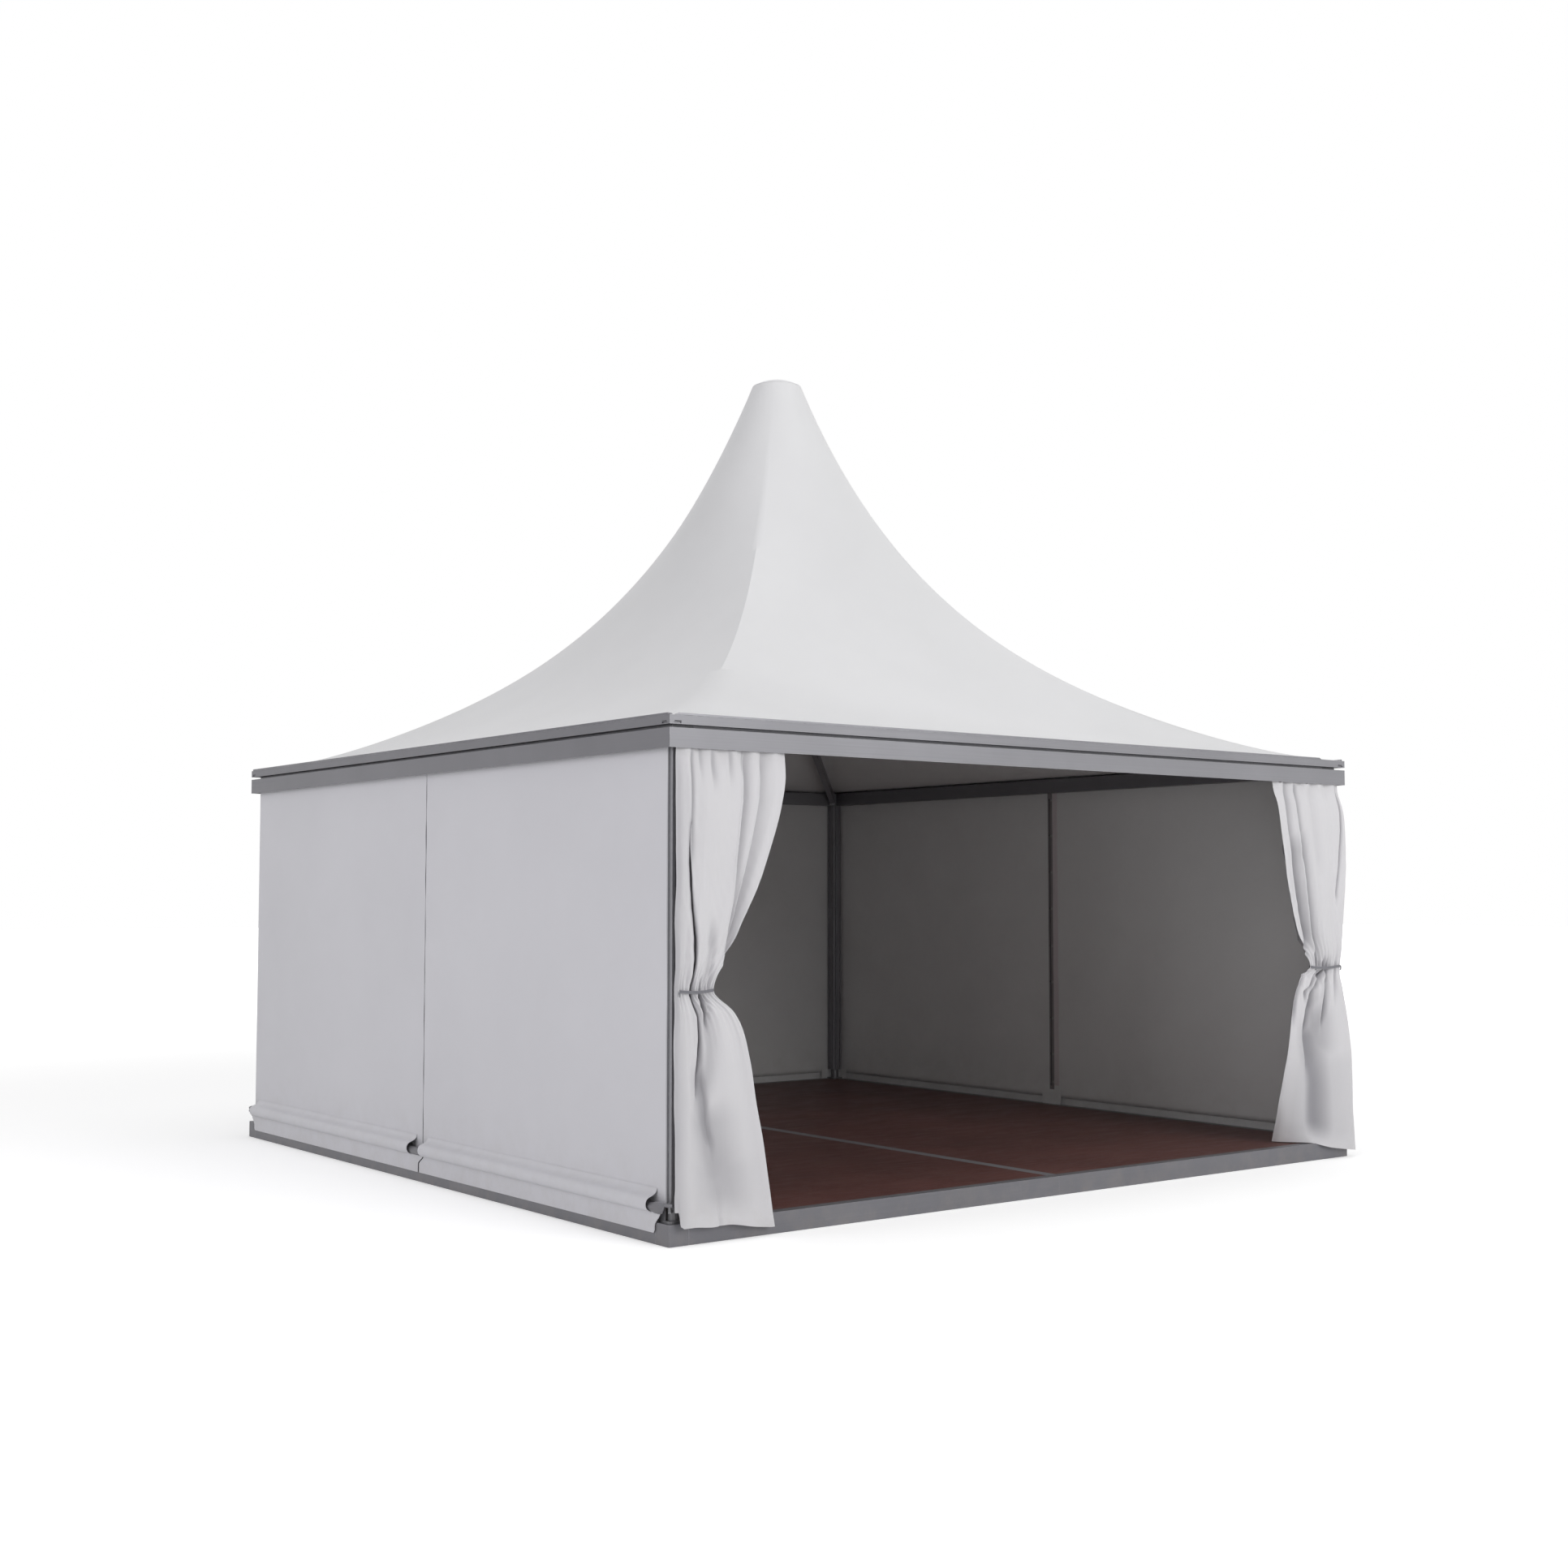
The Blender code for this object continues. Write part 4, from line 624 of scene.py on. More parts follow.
# walls: each panel is a sheet that ends in a pocket round the tension tube, with a flap below it
wall = {
    "face": 2.4805,
    "seam": 0.004,
    "postEdge": 2.4515,
    "grooveFace": 2.4672,
    "grooveStep": (2.4405, 2.4475),
    "kederFrom": 2.4433,
    "pocketCentre": (2.5125, 0.182),
    "pocketRadius": 0.035,
    "pocketArc": (-94, 68),
    "pocketEnds": (0.070, 2.375),
    "underArc": (285, 180),
    "underGap": 0.0015,
    "tuckIn": (0.245, 0.185),
    "mouth": (0.164, 0.178),
    "weldFace": 2.4832,
    "weld": (0.229, 0.252),
    "weldPull": (-0.019, 0.007),
    "flapFace": 2.506,
    "flapBottom": 0.052,
    "flapTop": 0.147,
    "flapEnds": (0.007, 2.391),
    "flapSwing": 0.056,
    "swingFrom": 0.098,
    "flapSlant": 0.044,
    "slantFrom": 0.085,
    "flapCorner": 0.010,
    "cornerFrom": (0.066, 0.052),
    "thickness": 0.0024,
    "unevenness": 0.0022,
    "calmBelow": (0.23, 0.5),
    "calmAbove": (2.36, 2.2),
    "edgeWave": 0.0016,
    "edgeReach": 0.03,
    "streaks": 0.0007,
    "streaksBelow": (0.6, 0.25),
    "rows": ((0.1845, 0.2065, 12), (0.214, 0.3, 10), (0.32, 2.34, 90), (2.35, 2.3597, 2)),
    "steps": {"under": 16, "tube": 26, "flap": 14, "weld": 10},
    "columns": 110,
    "broadReach": 0.985,
    "crowding": 0.94,
    "edgeColumns": (0.03, 0.0245, 0.0195, 0.0155, 0.0125, 0.01, 0.008, 0.006, 0.004, 0.002, 0.0),
}
panels = {
    "wall_right_back": ("right", 1), "wall_right_front": ("right", -1), "wall_back_left": ("back", 1),
    "wall_back_right": ("back", -1), "wall_left_front": ("left", 1), "wall_left_back": ("left", -1),
}


def bezier(a, b, c, d, steps):
    t = np.linspace(0, 1, steps)[:, None]
    a, b, c, d = (np.array(point, float) for point in (a, b, c, d))
    return (1 - t)**3 * a + 3 * (1 - t)**2 * t * b + 3 * (1 - t) * t**2 * c + t**3 * d


def arc(centre, radius, start, end, steps):
    angle = np.radians(np.linspace(start, end, steps))
    return np.stack([centre[0] + radius * np.cos(angle), centre[1] + radius * np.sin(angle)], -1)


def wallStrip(name, side, hand, path, ends, seed, groove=False):
    # path holds out and height from the bottom up, ends the reach along the side at each point of it
    reach = wall["postEdge"] - wall["seam"]
    u = np.concatenate([np.linspace(0, wall["broadReach"], wall["columns"]) ** wall["crowding"],
                        1 - np.array(wall["edgeColumns"]) / reach])
    if hand < 0:
        u = u[::-1]
    start = np.asarray(ends[0])[:, None]
    end = np.asarray(ends[1])[:, None]
    t = start + (end - start) * u[None, :]
    height = path[:, 1][:, None] + 0 * t
    out = path[:, 0][:, None] + 0 * t
    t = t + hump(t - start, wall["edgeReach"]) * wall["edgeWave"] * ripple(height, 0 * t, seed + 5, 0.22)
    rim = smoothStep(0, 0.12, t - start) * smoothStep(0, 0.1, end - t)
    calm = rim * smoothStep(*wall["calmBelow"], height) * smoothStep(*wall["calmAbove"], height)
    out = out + wall["unevenness"] * ripple(t, height * 0.6, seed, 0.7) * calm
    low = rim * smoothStep(*wall["streaksBelow"], height)
    out = out - wall["streaks"] * np.abs(ripple(t, 0 * t, seed + 9, 0.09)) * low
    if groove:
        out = out - (wall["face"] - wall["grooveFace"]) * smoothStep(*wall["grooveStep"], t)
    piece = gridPiece(name, toSide(side, hand * t, out, height))
    addMaterials(piece, "wallMembrane", "greyLining", "kederEdge", "kederEdge")
    if groove:
        inGroove = (t[:-1, :-1] + t[:-1, 1:]) / 2 > wall["kederFrom"]
        piece.data.polygons.foreach_set("material_index", (inGroove * 2).ravel().astype(np.int32))
    return piece


def makeWall(name, side, hand, seed):
    centre, radius = wall["pocketCentre"], wall["pocketRadius"]
    pocketStart, pocketEnd = wall["pocketEnds"]
    under = arc(centre, radius - wall["underGap"], *wall["underArc"], wall["steps"]["under"])
    sheetHeights = np.concatenate([np.linspace(*span) for span in wall["rows"]])
    sheetOut = wall["face"] - (wall["face"] - under[-1, 0]) * smoothStep(*wall["tuckIn"], sheetHeights)
    path = np.concatenate([under, np.stack([sheetOut, sheetHeights], -1)])
    widen = smoothStep(*wall["mouth"], path[:, 1])
    starts = pocketStart + (wall["seam"] - pocketStart) * widen
    ends = pocketEnd + (wall["postEdge"] - pocketEnd) * widen
    sheet = wallStrip(name, side, hand, path, (starts, ends), seed, groove=True)

    # the outer layer: the flap, then round the tube, then welded to the sheet
    tube = arc(centre, radius, *wall["pocketArc"], wall["steps"]["tube"])
    flapHeights = np.linspace(wall["flapBottom"], tube[0, 1] - 0.002, wall["steps"]["flap"])
    flap = np.stack([wall["flapFace"] + 0 * flapHeights, flapHeights], -1)
    weldLow, weldHigh = ((wall["weldFace"], height) for height in wall["weld"])
    weld = bezier(tube[-1], tube[-1] + np.array(wall["weldPull"]), weldLow, weldHigh, wall["steps"]["weld"])[1:]
    outerPath = np.concatenate([flap, tube, weld])
    height = outerPath[:, 1]
    onPocket = (height > wall["flapTop"] - 0.0008).astype(float)
    swung = smoothStep(wall["swingFrom"], wall["flapTop"], height)
    slanted = smoothStep(wall["slantFrom"], wall["flapTop"], height)
    flapStart = wall["flapEnds"][0] + hand * wall["flapSwing"] * swung
    flapEnd = wall["flapEnds"][1] + wall["flapSlant"] * slanted \
        - wall["flapCorner"] * smoothStep(*wall["cornerFrom"], height)
    starts = flapStart + (pocketStart - flapStart) * onPocket
    ends = flapEnd + (pocketEnd - flapEnd) * onPocket
    outer = wallStrip(name + "_pocket", side, hand, outerPath, (starts, ends), seed + 40)
    for strip in (sheet, outer):
        thicken(strip, wall["thickness"], lining=1)
    piece = joinPieces(name + "_sheet", [sheet, outer])
    smoothPiece(piece, 40)
    settle(piece, "tent", None, [name])


for i, (name, (side, hand)) in enumerate(panels.items()):
    makeWall(name, side, hand, 20 + 7 * i)
print("six wall panels made")

# curtains: an outline row is a height, the inner and the outer edge measured in from the post's corner,
# how far the cloth hangs out and its folds' depth; a crease is its depth, half its width to either side,
# the strength of the shade painted along it, its line as height and place, and where the cloth slits, the
# slit's depth and lean
curtain = {
    "curtain_left": {
        "sign": -1, "body": "left_curtain", "hem": 0.0405, "tie": 1.155, "folds": 3.5, "phase": 0.6,
        "outline": (
            (2.3194, 0.668, 0.04, -0.014, 0.008), (2.268, 0.666, 0.036, -0.013, 0.01),
            (2.09, 0.645, 0.032, 0.004, 0.016), (1.83, 0.56, 0.03, 0.01, 0.018),
            (1.41, 0.372, 0.028, 0.006, 0.017), (1.155, 0.242, 0.034, -0.001, 0.015),
            (1.055, 0.342, 0.026, 0.006, 0.017), (0.81, 0.436, 0.014, 0.016, 0.017),
            (0.74, 0.449, 0.013, 0.017, 0.017), (0.6, 0.474, 0.017, 0.019, 0.016),
            (0.46, 0.498, 0.019, 0.02, 0.015), (0.15, 0.556, 0.016, 0.022, 0.013),
            (0.04, 0.576, 0.021, 0.022, 0.013),
        ),
        "creases": (
            (0.02, 0.006, 0.016, 0.6, ((2.29, -2.385), (2.196, -2.384), (1.951, -2.396), (1.8, -2.392))),
            (-0.011, 0.014, 0.01, 0.0, ((2.29, -2.405), (1.951, -2.413), (1.543, -2.394), (1.175, -2.394))),
            (0.008, 0.006, 0.014, 0.25, ((1.9, -2.412), (1.745, -2.411), (1.62, -2.402), (1.543, -2.394),
                (1.398, -2.377), (1.301, -2.375), (1.175, -2.386)), 0.05, 0.8),
            (0.022, 0.004, 0.028, 0.42, ((2.29, -2.075), (2.208, -2.079), (2.039, -2.092), (1.748, -2.135),
                (1.584, -2.15), (1.38, -2.185), (1.28, -2.21))),
            (0.022, 0.004, 0.04, 0.42, ((2.29, -1.98), (2.213, -1.987), (2.042, -2.006), (1.833, -2.054),
                (1.668, -2.096), (1.501, -2.134), (1.3, -2.2))),
            (0.012, 0.01, 0.022, 0.46, ((2.32, -2.272), (2.17, -2.262))),
            (0.012, 0.008, 0.02, 0.42, ((2.32, -2.17), (2.2, -2.16))),
            (0.01, 0.006, 0.014, 0.36, ((2.32, -2.335), (2.22, -2.33))),
            (0.01, 0.006, 0.014, 0.4, ((2.32, -2.085), (2.22, -2.092))),
            (0.01, 0.006, 0.014, 0.4, ((2.32, -1.975), (2.22, -1.985))),
            (0.016, 0.018, 0.022, 0.32, ((1.42, -2.275), (1.33, -2.278), (1.2, -2.305))),
            (0.01, 0.01, 0.012, 0.25, ((1.34, -2.262), (1.18, -2.28))),
            (0.028, 0.006, 0.03, 0.72, ((1.134, -2.395), (1.036, -2.362), (0.932, -2.358), (0.821, -2.362),
                (0.747, -2.364)), 0.046, 0.8),
            (0.02, 0.012, 0.024, 0.62, ((0.86, -2.358), (0.78, -2.362), (0.7, -2.356))),
            (0.012, 0.03, 0.045, 0.4, ((1.02, -2.312), (0.9, -2.294), (0.8, -2.3), (0.7, -2.315))),
            (0.028, 0.055, 0.016, 0.66, ((0.76, -2.334), (0.66, -2.318), (0.6, -2.308), (0.54, -2.298),
                (0.44, -2.27))),
            (0.022, 0.08, 0.12, 0.45, ((0.58, -2.315), (0.48, -2.295), (0.36, -2.265), (0.26, -2.245))),
            (0.018, 0.12, 0.15, 0.4, ((0.36, -2.255), (0.26, -2.23), (0.17, -2.22))),
            (0.034, 0.008, 0.018, 0.88, ((1.136, -2.331), (1.09, -2.321), (1.05, -2.309)), 0.034, 0.6),
            # a strip of painted shade beside the post, with no crease
            (0.0, 0.05, 0.05, 0.26, ((2.24, -2.478), (0.05, -2.478))),
            (0.014, 0.004, 0.016, 0.24, ((1.136, -2.31), (1.09, -2.29)), 0.008, 0.6),
            (0.008, 0.01, 0.014, 0.14, ((0.18, -2.24), (0.04, -2.236))),
        ),
    },
    "curtain_right": {
        "sign": 1, "body": "right_curtain", "hem": 0.0365, "tie": 1.163, "folds": 3.5, "phase": 1.1,
        "outline": (
            (2.3194, 0.66, 0.032, -0.014, 0.008), (2.268, 0.658, 0.03, -0.013, 0.01),
            (2.145, 0.646, -0.006, 0.004, 0.016), (1.805, 0.59, -0.02, 0.01, 0.018),
            (1.58, 0.543, 0.0, 0.008, 0.018), (1.366, 0.473, 0.022, 0.006, 0.017),
            (1.163, 0.338, 0.036, -0.001, 0.015), (1.105, 0.44, 0.04, 0.002, 0.017),
            (1.026, 0.484, 0.026, 0.008, 0.017), (0.9, 0.503, 0.0, 0.012, 0.016),
            (0.76, 0.505, -0.025, 0.016, 0.015), (0.46, 0.502, -0.036, 0.022, 0.012),
            (0.036, 0.478, -0.045, 0.026, 0.01),
        ),
        "creases": (
            (0.022, 0.012, 0.03, 0.58, ((2.29, 1.942), (2.02, 1.955), (1.86, 1.98))),
            (0.044, 0.014, 0.05, 1.0, ((1.9, 1.972), (1.825, 1.985), (1.713, 2.0), (1.454, 2.062),
                (1.33, 2.1)), 0.012, 0.6),
            (0.02, 0.008, 0.018, 0.5, ((1.33, 2.104), (1.26, 2.125), (1.18, 2.14))),
            (0.024, 0.008, 0.028, 0.66, ((2.29, 2.025), (2.1, 2.04), (1.9, 2.07))),
            (0.046, 0.01, 0.046, 1.0, ((1.92, 2.069), (1.777, 2.098), (1.615, 2.124), (1.409, 2.162),
                (1.246, 2.208), (1.172, 2.222)), 0.036, 0.6),
            (0.01, 0.03, 0.04, 0.1, ((2.262, 2.18), (2.0, 2.205), (1.779, 2.24))),
            (0.014, 0.004, 0.014, 0.3, ((2.29, 2.418), (2.111, 2.448), (1.986, 2.448), (1.78, 2.43),
                (1.616, 2.402)), 0.01, 1.0),
            (0.022, 0.01, 0.022, 0.62, ((1.148, 2.226), (1.047, 2.144), (1.015, 2.1)), 0.012, 0.9),
            (0.02, 0.008, 0.02, 0.35, ((1.146, 2.27), (1.079, 2.215), (0.98, 2.17)), 0.01, 0.9),
            (0.038, 0.008, 0.03, 0.95, ((1.146, 2.305), (1.085, 2.225), (1.02, 2.17), (0.93, 2.145),
                (0.87, 2.145)), 0.04, 0.6),
            (0.036, 0.018, 0.07, 0.85, ((0.98, 2.15), (0.9, 2.128), (0.82, 2.122), (0.72, 2.135),
                (0.6, 2.168))),
            (0.012, 0.05, 0.12, 0.5, ((0.9, 2.2), (0.8, 2.215), (0.66, 2.23))),
            (0.03, 0.008, 0.034, 0.95, ((1.145, 2.335), (1.062, 2.284), (0.945, 2.27),
                (0.85, 2.265)), 0.012, 0.8),
            (0.026, 0.02, 0.014, 0.6, ((1.1, 2.09), (1.03, 2.045), (0.96, 2.025), (0.88, 2.02))),
            (0.01, 0.006, 0.02, 0.25, ((1.146, 2.41), (1.062, 2.385), (0.99, 2.38)), 0.006, 0.8),
            (0.036, 0.07, 0.1, 0.8, ((0.78, 2.16), (0.68, 2.176), (0.56, 2.2), (0.427, 2.222),
                (0.25, 2.236), (0.13, 2.248))),
            # the next two are painted shade only, with no crease
            (0.0, 0.1, 0.05, 0.3, ((0.58, 2.19), (0.376, 2.19), (0.1, 2.195))),
            (0.0, 0.1, 0.24, 0.22, ((0.6, 2.26), (0.3, 2.29), (0.1, 2.32))),
        ),
    },
}
hang = {
    "rows": 184,
    "columns": 196,
    "plane": -2.5,
    "nearest": -2.562,
    "farthest": -2.4745,
    "softness": 0.004,
    "open": 0.032,
    "openBeside": (2.385, 2.36),
    "openBelow": (2.31, 2.2),
    "baseStep": 0.024,
    "baseTop": (0.16, 0.11),
    "headerTop": 2.2990,
    "headerEdge": 2.252,
    "headerBlend": (2.14, 2.30),
    "scallopBlend": (2.20, 2.301),
    "headerRidge": (0.0011, 0.004),
    "extraRows": {"tie": (2.2, 0.12), "hem": (2.0, 0.08), "header": (2.4, 0.09)},
    "tieHeight": 1.15,
    "tiedBelow": 0.007,
    "hookPlane": -2.489,
    "hooks": 6,
    "hookWave": 0.0075,
    "slack": 0.020,
    "slackWave": 0.008,
    "cornerDrop": 0.010,
    "bulge": 0.012,
    "broadFold": (0.32, 0.28),
    "broadShift": (0.018, 0.03),
    "broadSharpness": 0.85,
    "edgeCurl": 0.014,
    "smallFold": 0.0016,
    "smallFolds": 8.5,
    "pleatCount": 13,
    "pleats": ((0.0042, 0.085, 1.2), (0.0008, 0.3, 2)),
    "unevenness": 0.0026,
    "wrinkle": 0.0009,
    "edgeWave": 0.0022,
    "creaseFade": {"low": (-0.12, 0.05), "high": (0.10, -0.05)},
    "lip": {"height": 0.2, "away": 2.2, "width": 1.3},
    "slitWidth": 0.0095,
    # how dark the painted shade in a deep slit is
    "slitDark": 0.95,
    "slitDeep": 0.03,
    "edgeKept": 0.04,
    "thickness": 0.0012,
    "hemBand": 0.045,
    "hemDepth": 0.0010,
    "stitch": {"depth": 0.0009, "below": 0.004, "width": 0.0025},
    "hemPath": ((2.018, -2.287, 0.1065), (2.040, -2.345, 0.1065), (2.105, -2.420, 0.1065),
                (2.180, -2.486, 0.100), (2.300, -2.526, 0.070), (2.545, -2.526, 0.037)),
    "hemRise": ((0.034, 0.02, 0.5), (0.008, 0.6, 0.9), (0.010, 0.93, 0.96), (0.064, 0.960, 0.974)),
}


def curtainRows(hem):
    # closer rows at the header, the tie and the hem
    dense = np.linspace(0, 1, 900)
    height = hem + (hang["headerTop"] - hem) * dense
    places = {"tie": hang["tieHeight"], "hem": hem, "header": hang["headerTop"]}
    weight = 1
    for spot, (more, wide) in hang["extraRows"].items():
        weight = weight + more * hump(height - places[spot], wide)
    reach = np.concatenate([[0], np.cumsum((weight[1:] + weight[:-1]) / 2)])
    return np.interp(np.linspace(0, reach[-1], hang["rows"]), reach, height)


def softOver(value):
    # value where it is over 0, easing to 0 where it would be under
    return (value + np.sqrt(value * value + hang["softness"]**2)) / 2


def hangFolds(cloth, x, z, u, hangOut, depth, away):
    # broad folds follow the cloth from the header into the tie, and open again below it
    sign, phase = cloth["sign"], cloth["phase"]
    above = z > cloth["tie"]
    wave = 2 * math.pi
    shift = np.where(above, *hang["broadShift"]) * smoothStep(0, 0.5, away)
    spread = u + shift * np.sin(wave * (u * 1.3 + z * 0.35))
    folds = np.sin(wave * cloth["folds"] * spread + 0.9 * np.sin(wave * spread) + phase)
    folds = np.sign(folds) * np.abs(folds) ** hang["broadSharpness"]
    small = np.sin(wave * hang["smallFolds"] * spread + 1.7 * np.sin(wave * u) + phase * 3) \
        * (0.5 + 0.5 * np.sin(wave * (u + z * 0.21)))
    pleats = np.sin(wave * hang["pleatCount"] * u + 1.3 * np.sin(wave * 2 * u) + phase)
    forward = hangOut + hang["bulge"] * smoothStep(0.0, 0.12, away)
    forward = forward + depth * np.where(above, *hang["broadFold"]) * folds
    forward = forward - hang["edgeCurl"] * hump(1 - u, 0.025)
    forward = forward + hang["smallFold"] * small * smoothStep(1.2, 1.6, z)
    forward = forward + pleats * sum(deep * hump(away, wide, power) for deep, wide, power in hang["pleats"])
    forward = forward + hang["unevenness"] * ripple(x * 1.5, z * 0.6, 61 + sign, 0.42)
    return forward + hang["wrinkle"] * ripple(x * 2.2, z, 71 + sign, 0.09) * hump(z - 1.5, 0.5)


def makeCurtain(name):
    cloth = curtain[name]
    sign, tie, hem = cloth["sign"], cloth["tie"], cloth["hem"]
    height = curtainRows(hem)
    inner, outer, hangOut, depth = through(cloth["outline"], height).T[:, :, None]
    u = np.linspace(0, 1, hang["columns"])[None, :]
    z = height[:, None] + 0 * u
    x = sign * (2.5 - inner + (inner - outer) * u)
    away = np.abs(z - tie)
    forward = hangFolds(cloth, x, z, u, hangOut, depth, away)

    # single creases, placed where the cloth breaks; a slit leans over on itself; each also paints shade into
    # the cloth along its valley and, where deep, its slit
    aside = 0 * z
    creaseShade = 0 * z
    inside = smoothStep(0.0, hang["edgeKept"], u) * smoothStep(1.0, 1 - hang["edgeKept"], u)
    for drop, left, right, shade, line, *leaning in cloth["creases"]:
        slit, lean = leaning or (0.0, 0.0)
        line = np.array(sorted(line))
        low = line[0, 0] + np.array(hang["creaseFade"]["low"])
        high = line[-1, 0] + np.array(hang["creaseFade"]["high"])
        fade = smoothStep(*low, z) * smoothStep(*high, z)
        past = x - np.interp(z, line[:, 0], line[:, 1])
        valley = hump(np.where(past < 0, past / left, past / right), 1)
        lip = hang["lip"]["height"] * hump(past + hang["lip"]["away"] * left, hang["lip"]["width"] * left)
        notch = hump(np.abs(past - 0.001), hang["slitWidth"], 1.7)
        forward = forward - fade * (drop * (valley - lip) + slit * notch)
        aside = aside + fade * inside * slit * lean * notch
        # painted shade, near black, down the middle of each deep slit
        dark = hang["slitDark"] * (slit > hang["slitDeep"]) * notch
        creaseShade = np.maximum(creaseShade, fade * np.maximum(shade * valley, dark))

    # header: waves from hook to hook
    hooks = np.cos(2 * math.pi * (hang["hooks"] - 1) * u)
    hooked = -hang["hookPlane"] + hang["plane"] + hang["hookWave"] * (1 - hooks)
    blend = smoothStep(*hang["headerBlend"], z)
    forward = forward * (1 - blend) + hooked * blend
    slack = hang["slack"] + hang["slackWave"] * ripple(u, 0 * u, 91 + sign, 0.3) \
        + hang["cornerDrop"] * hump(1 - u, 0.05)
    scallop = -(slack * (1 - hooks) / 2 + hang["cornerDrop"] * hump(1 - u, 0.035)) \
        * smoothStep(*hang["scallopBlend"], z)
    ridge, width = hang["headerRidge"]
    forward = forward + ridge * hump(z - hang["headerEdge"], width)

    # hem: a doubled band with its stitching
    seamHeight, stitch = hem + hang["hemBand"], hang["stitch"]
    band = smoothStep(seamHeight + 0.002, seamHeight - 0.002, z)
    sewn = hump(z - seamHeight + stitch["below"], stitch["width"])
    forward = forward + hang["hemDepth"] * band - stitch["depth"] * sewn
    swing = 0 * z
    if sign > 0:
        # the free inner edge stands back inside the front, on the floor
        path = through([(i / 5, *spot) for i, spot in enumerate(hang["hemPath"])], np.linspace(0, 1, 200))
        along = reachAlong(path[:, :2])
        hemX, hemY, hemZ = (np.interp(u, along / along[-1], path[:, i]) for i in range(3))
        free = tie - hang["tiedBelow"]
        fall = np.clip((free - z) / (free - hem), 0, 1) ** 1.3
        aside = aside + fall * (hemX - (hemX[0, 0] + (hemX[0, -1] - hemX[0, 0]) * u))
        swing = fall * (hemY - hemY[0, -1])
        lift = (hemZ - hem) * smoothStep(0.7, hem, z)
    else:
        # towards the post the hem rises, and the cloth's turned back edge ends higher
        rise = sum(up * smoothStep(begin, end, u) for up, begin, end in hang["hemRise"])
        lift = (rise + 0.0008 * (1 + np.sin(u * 17))) * smoothStep(0.35, hem, z)

    edge = hang["edgeWave"] * ripple(z, 0 * z, 81 + sign, 0.3)
    x = x + aside + edge * (hump(u, 0.05) + hump(1 - u, 0.05)) * smoothStep(2.3, 2.2, z)
    # the cloth has more room beside the post, and stays outside the floor frame
    back = hang["farthest"] + hang["open"] * smoothStep(*hang["openBeside"], np.abs(x)) \
        * smoothStep(*hang["openBelow"], z)
    back = back - hang["baseStep"] * smoothStep(*hang["baseTop"], z) * (swing < 0.004)
    y = hang["plane"] - forward
    y = back - softOver(back - y)
    y = hang["nearest"] + softOver(y - hang["nearest"]) + swing
    points = np.stack([x, y, z + lift + scallop], -1)
    if sign > 0:
        points, creaseShade = points[:, ::-1], creaseShade[:, ::-1]
    sheet = gridPiece(name, points, folds=creaseShade)
    thicken(sheet, hang["thickness"], offset=0.0)
    smoothPiece(sheet, 60)
    piece = joinPieces(name + "_cloth", [sheet])
    settle(piece, cloth["body"], "curtainCloth", [name])
    return points


curtainPoints = {name: makeCurtain(name) for name in curtain}

# ties: a narrow cloth band round each gathered curtain, with places along it and its height there
tie = {
    "curtain_tie_left": {
        "curtain": "curtain_left", "outermost": 2.452,
        "sag": ((-2.46, 1.1555), (-2.40, 1.1495), (-2.35, 1.1475), (-2.30, 1.1515), (-2.24, 1.1585)),
    },
    "curtain_tie_right": {
        "curtain": "curtain_right", "outermost": 2.6,
        "sag": ((2.13, 1.1685), (2.20, 1.158), (2.281, 1.1535), (2.38, 1.1575), (2.47, 1.1635)),
    },
}
band = {
    "height": 0.0135,
    "thickness": 0.0018,
    "clear": 0.0012,
    "crown": 0.0008,
    "grip": 0.012,
    "easing": 6,
    "steps": 120,
    "rows": 7,
    "postFace": -2.505,
    "end": {"length": 0.030, "half": 0.0055, "thickness": 0.0016, "above": 0.004, "before": 0.0028},
    "sewn": 0.05,
}


def outlineAround(points):
    # the closed line that a tight band takes round the points, counter-clockwise
    points = sorted({(round(float(x), 5), round(float(y), 5)) for x, y in points})

    def half(ordered):
        line = []
        for p in ordered:
            while len(line) > 1 and (line[-1][0] - line[-2][0]) * (p[1] - line[-2][1]) \
                    <= (line[-1][1] - line[-2][1]) * (p[0] - line[-2][0]):
                line.pop()
            line.append(p)
        return line[:-1]
    return np.array(half(points) + half(points[::-1]))


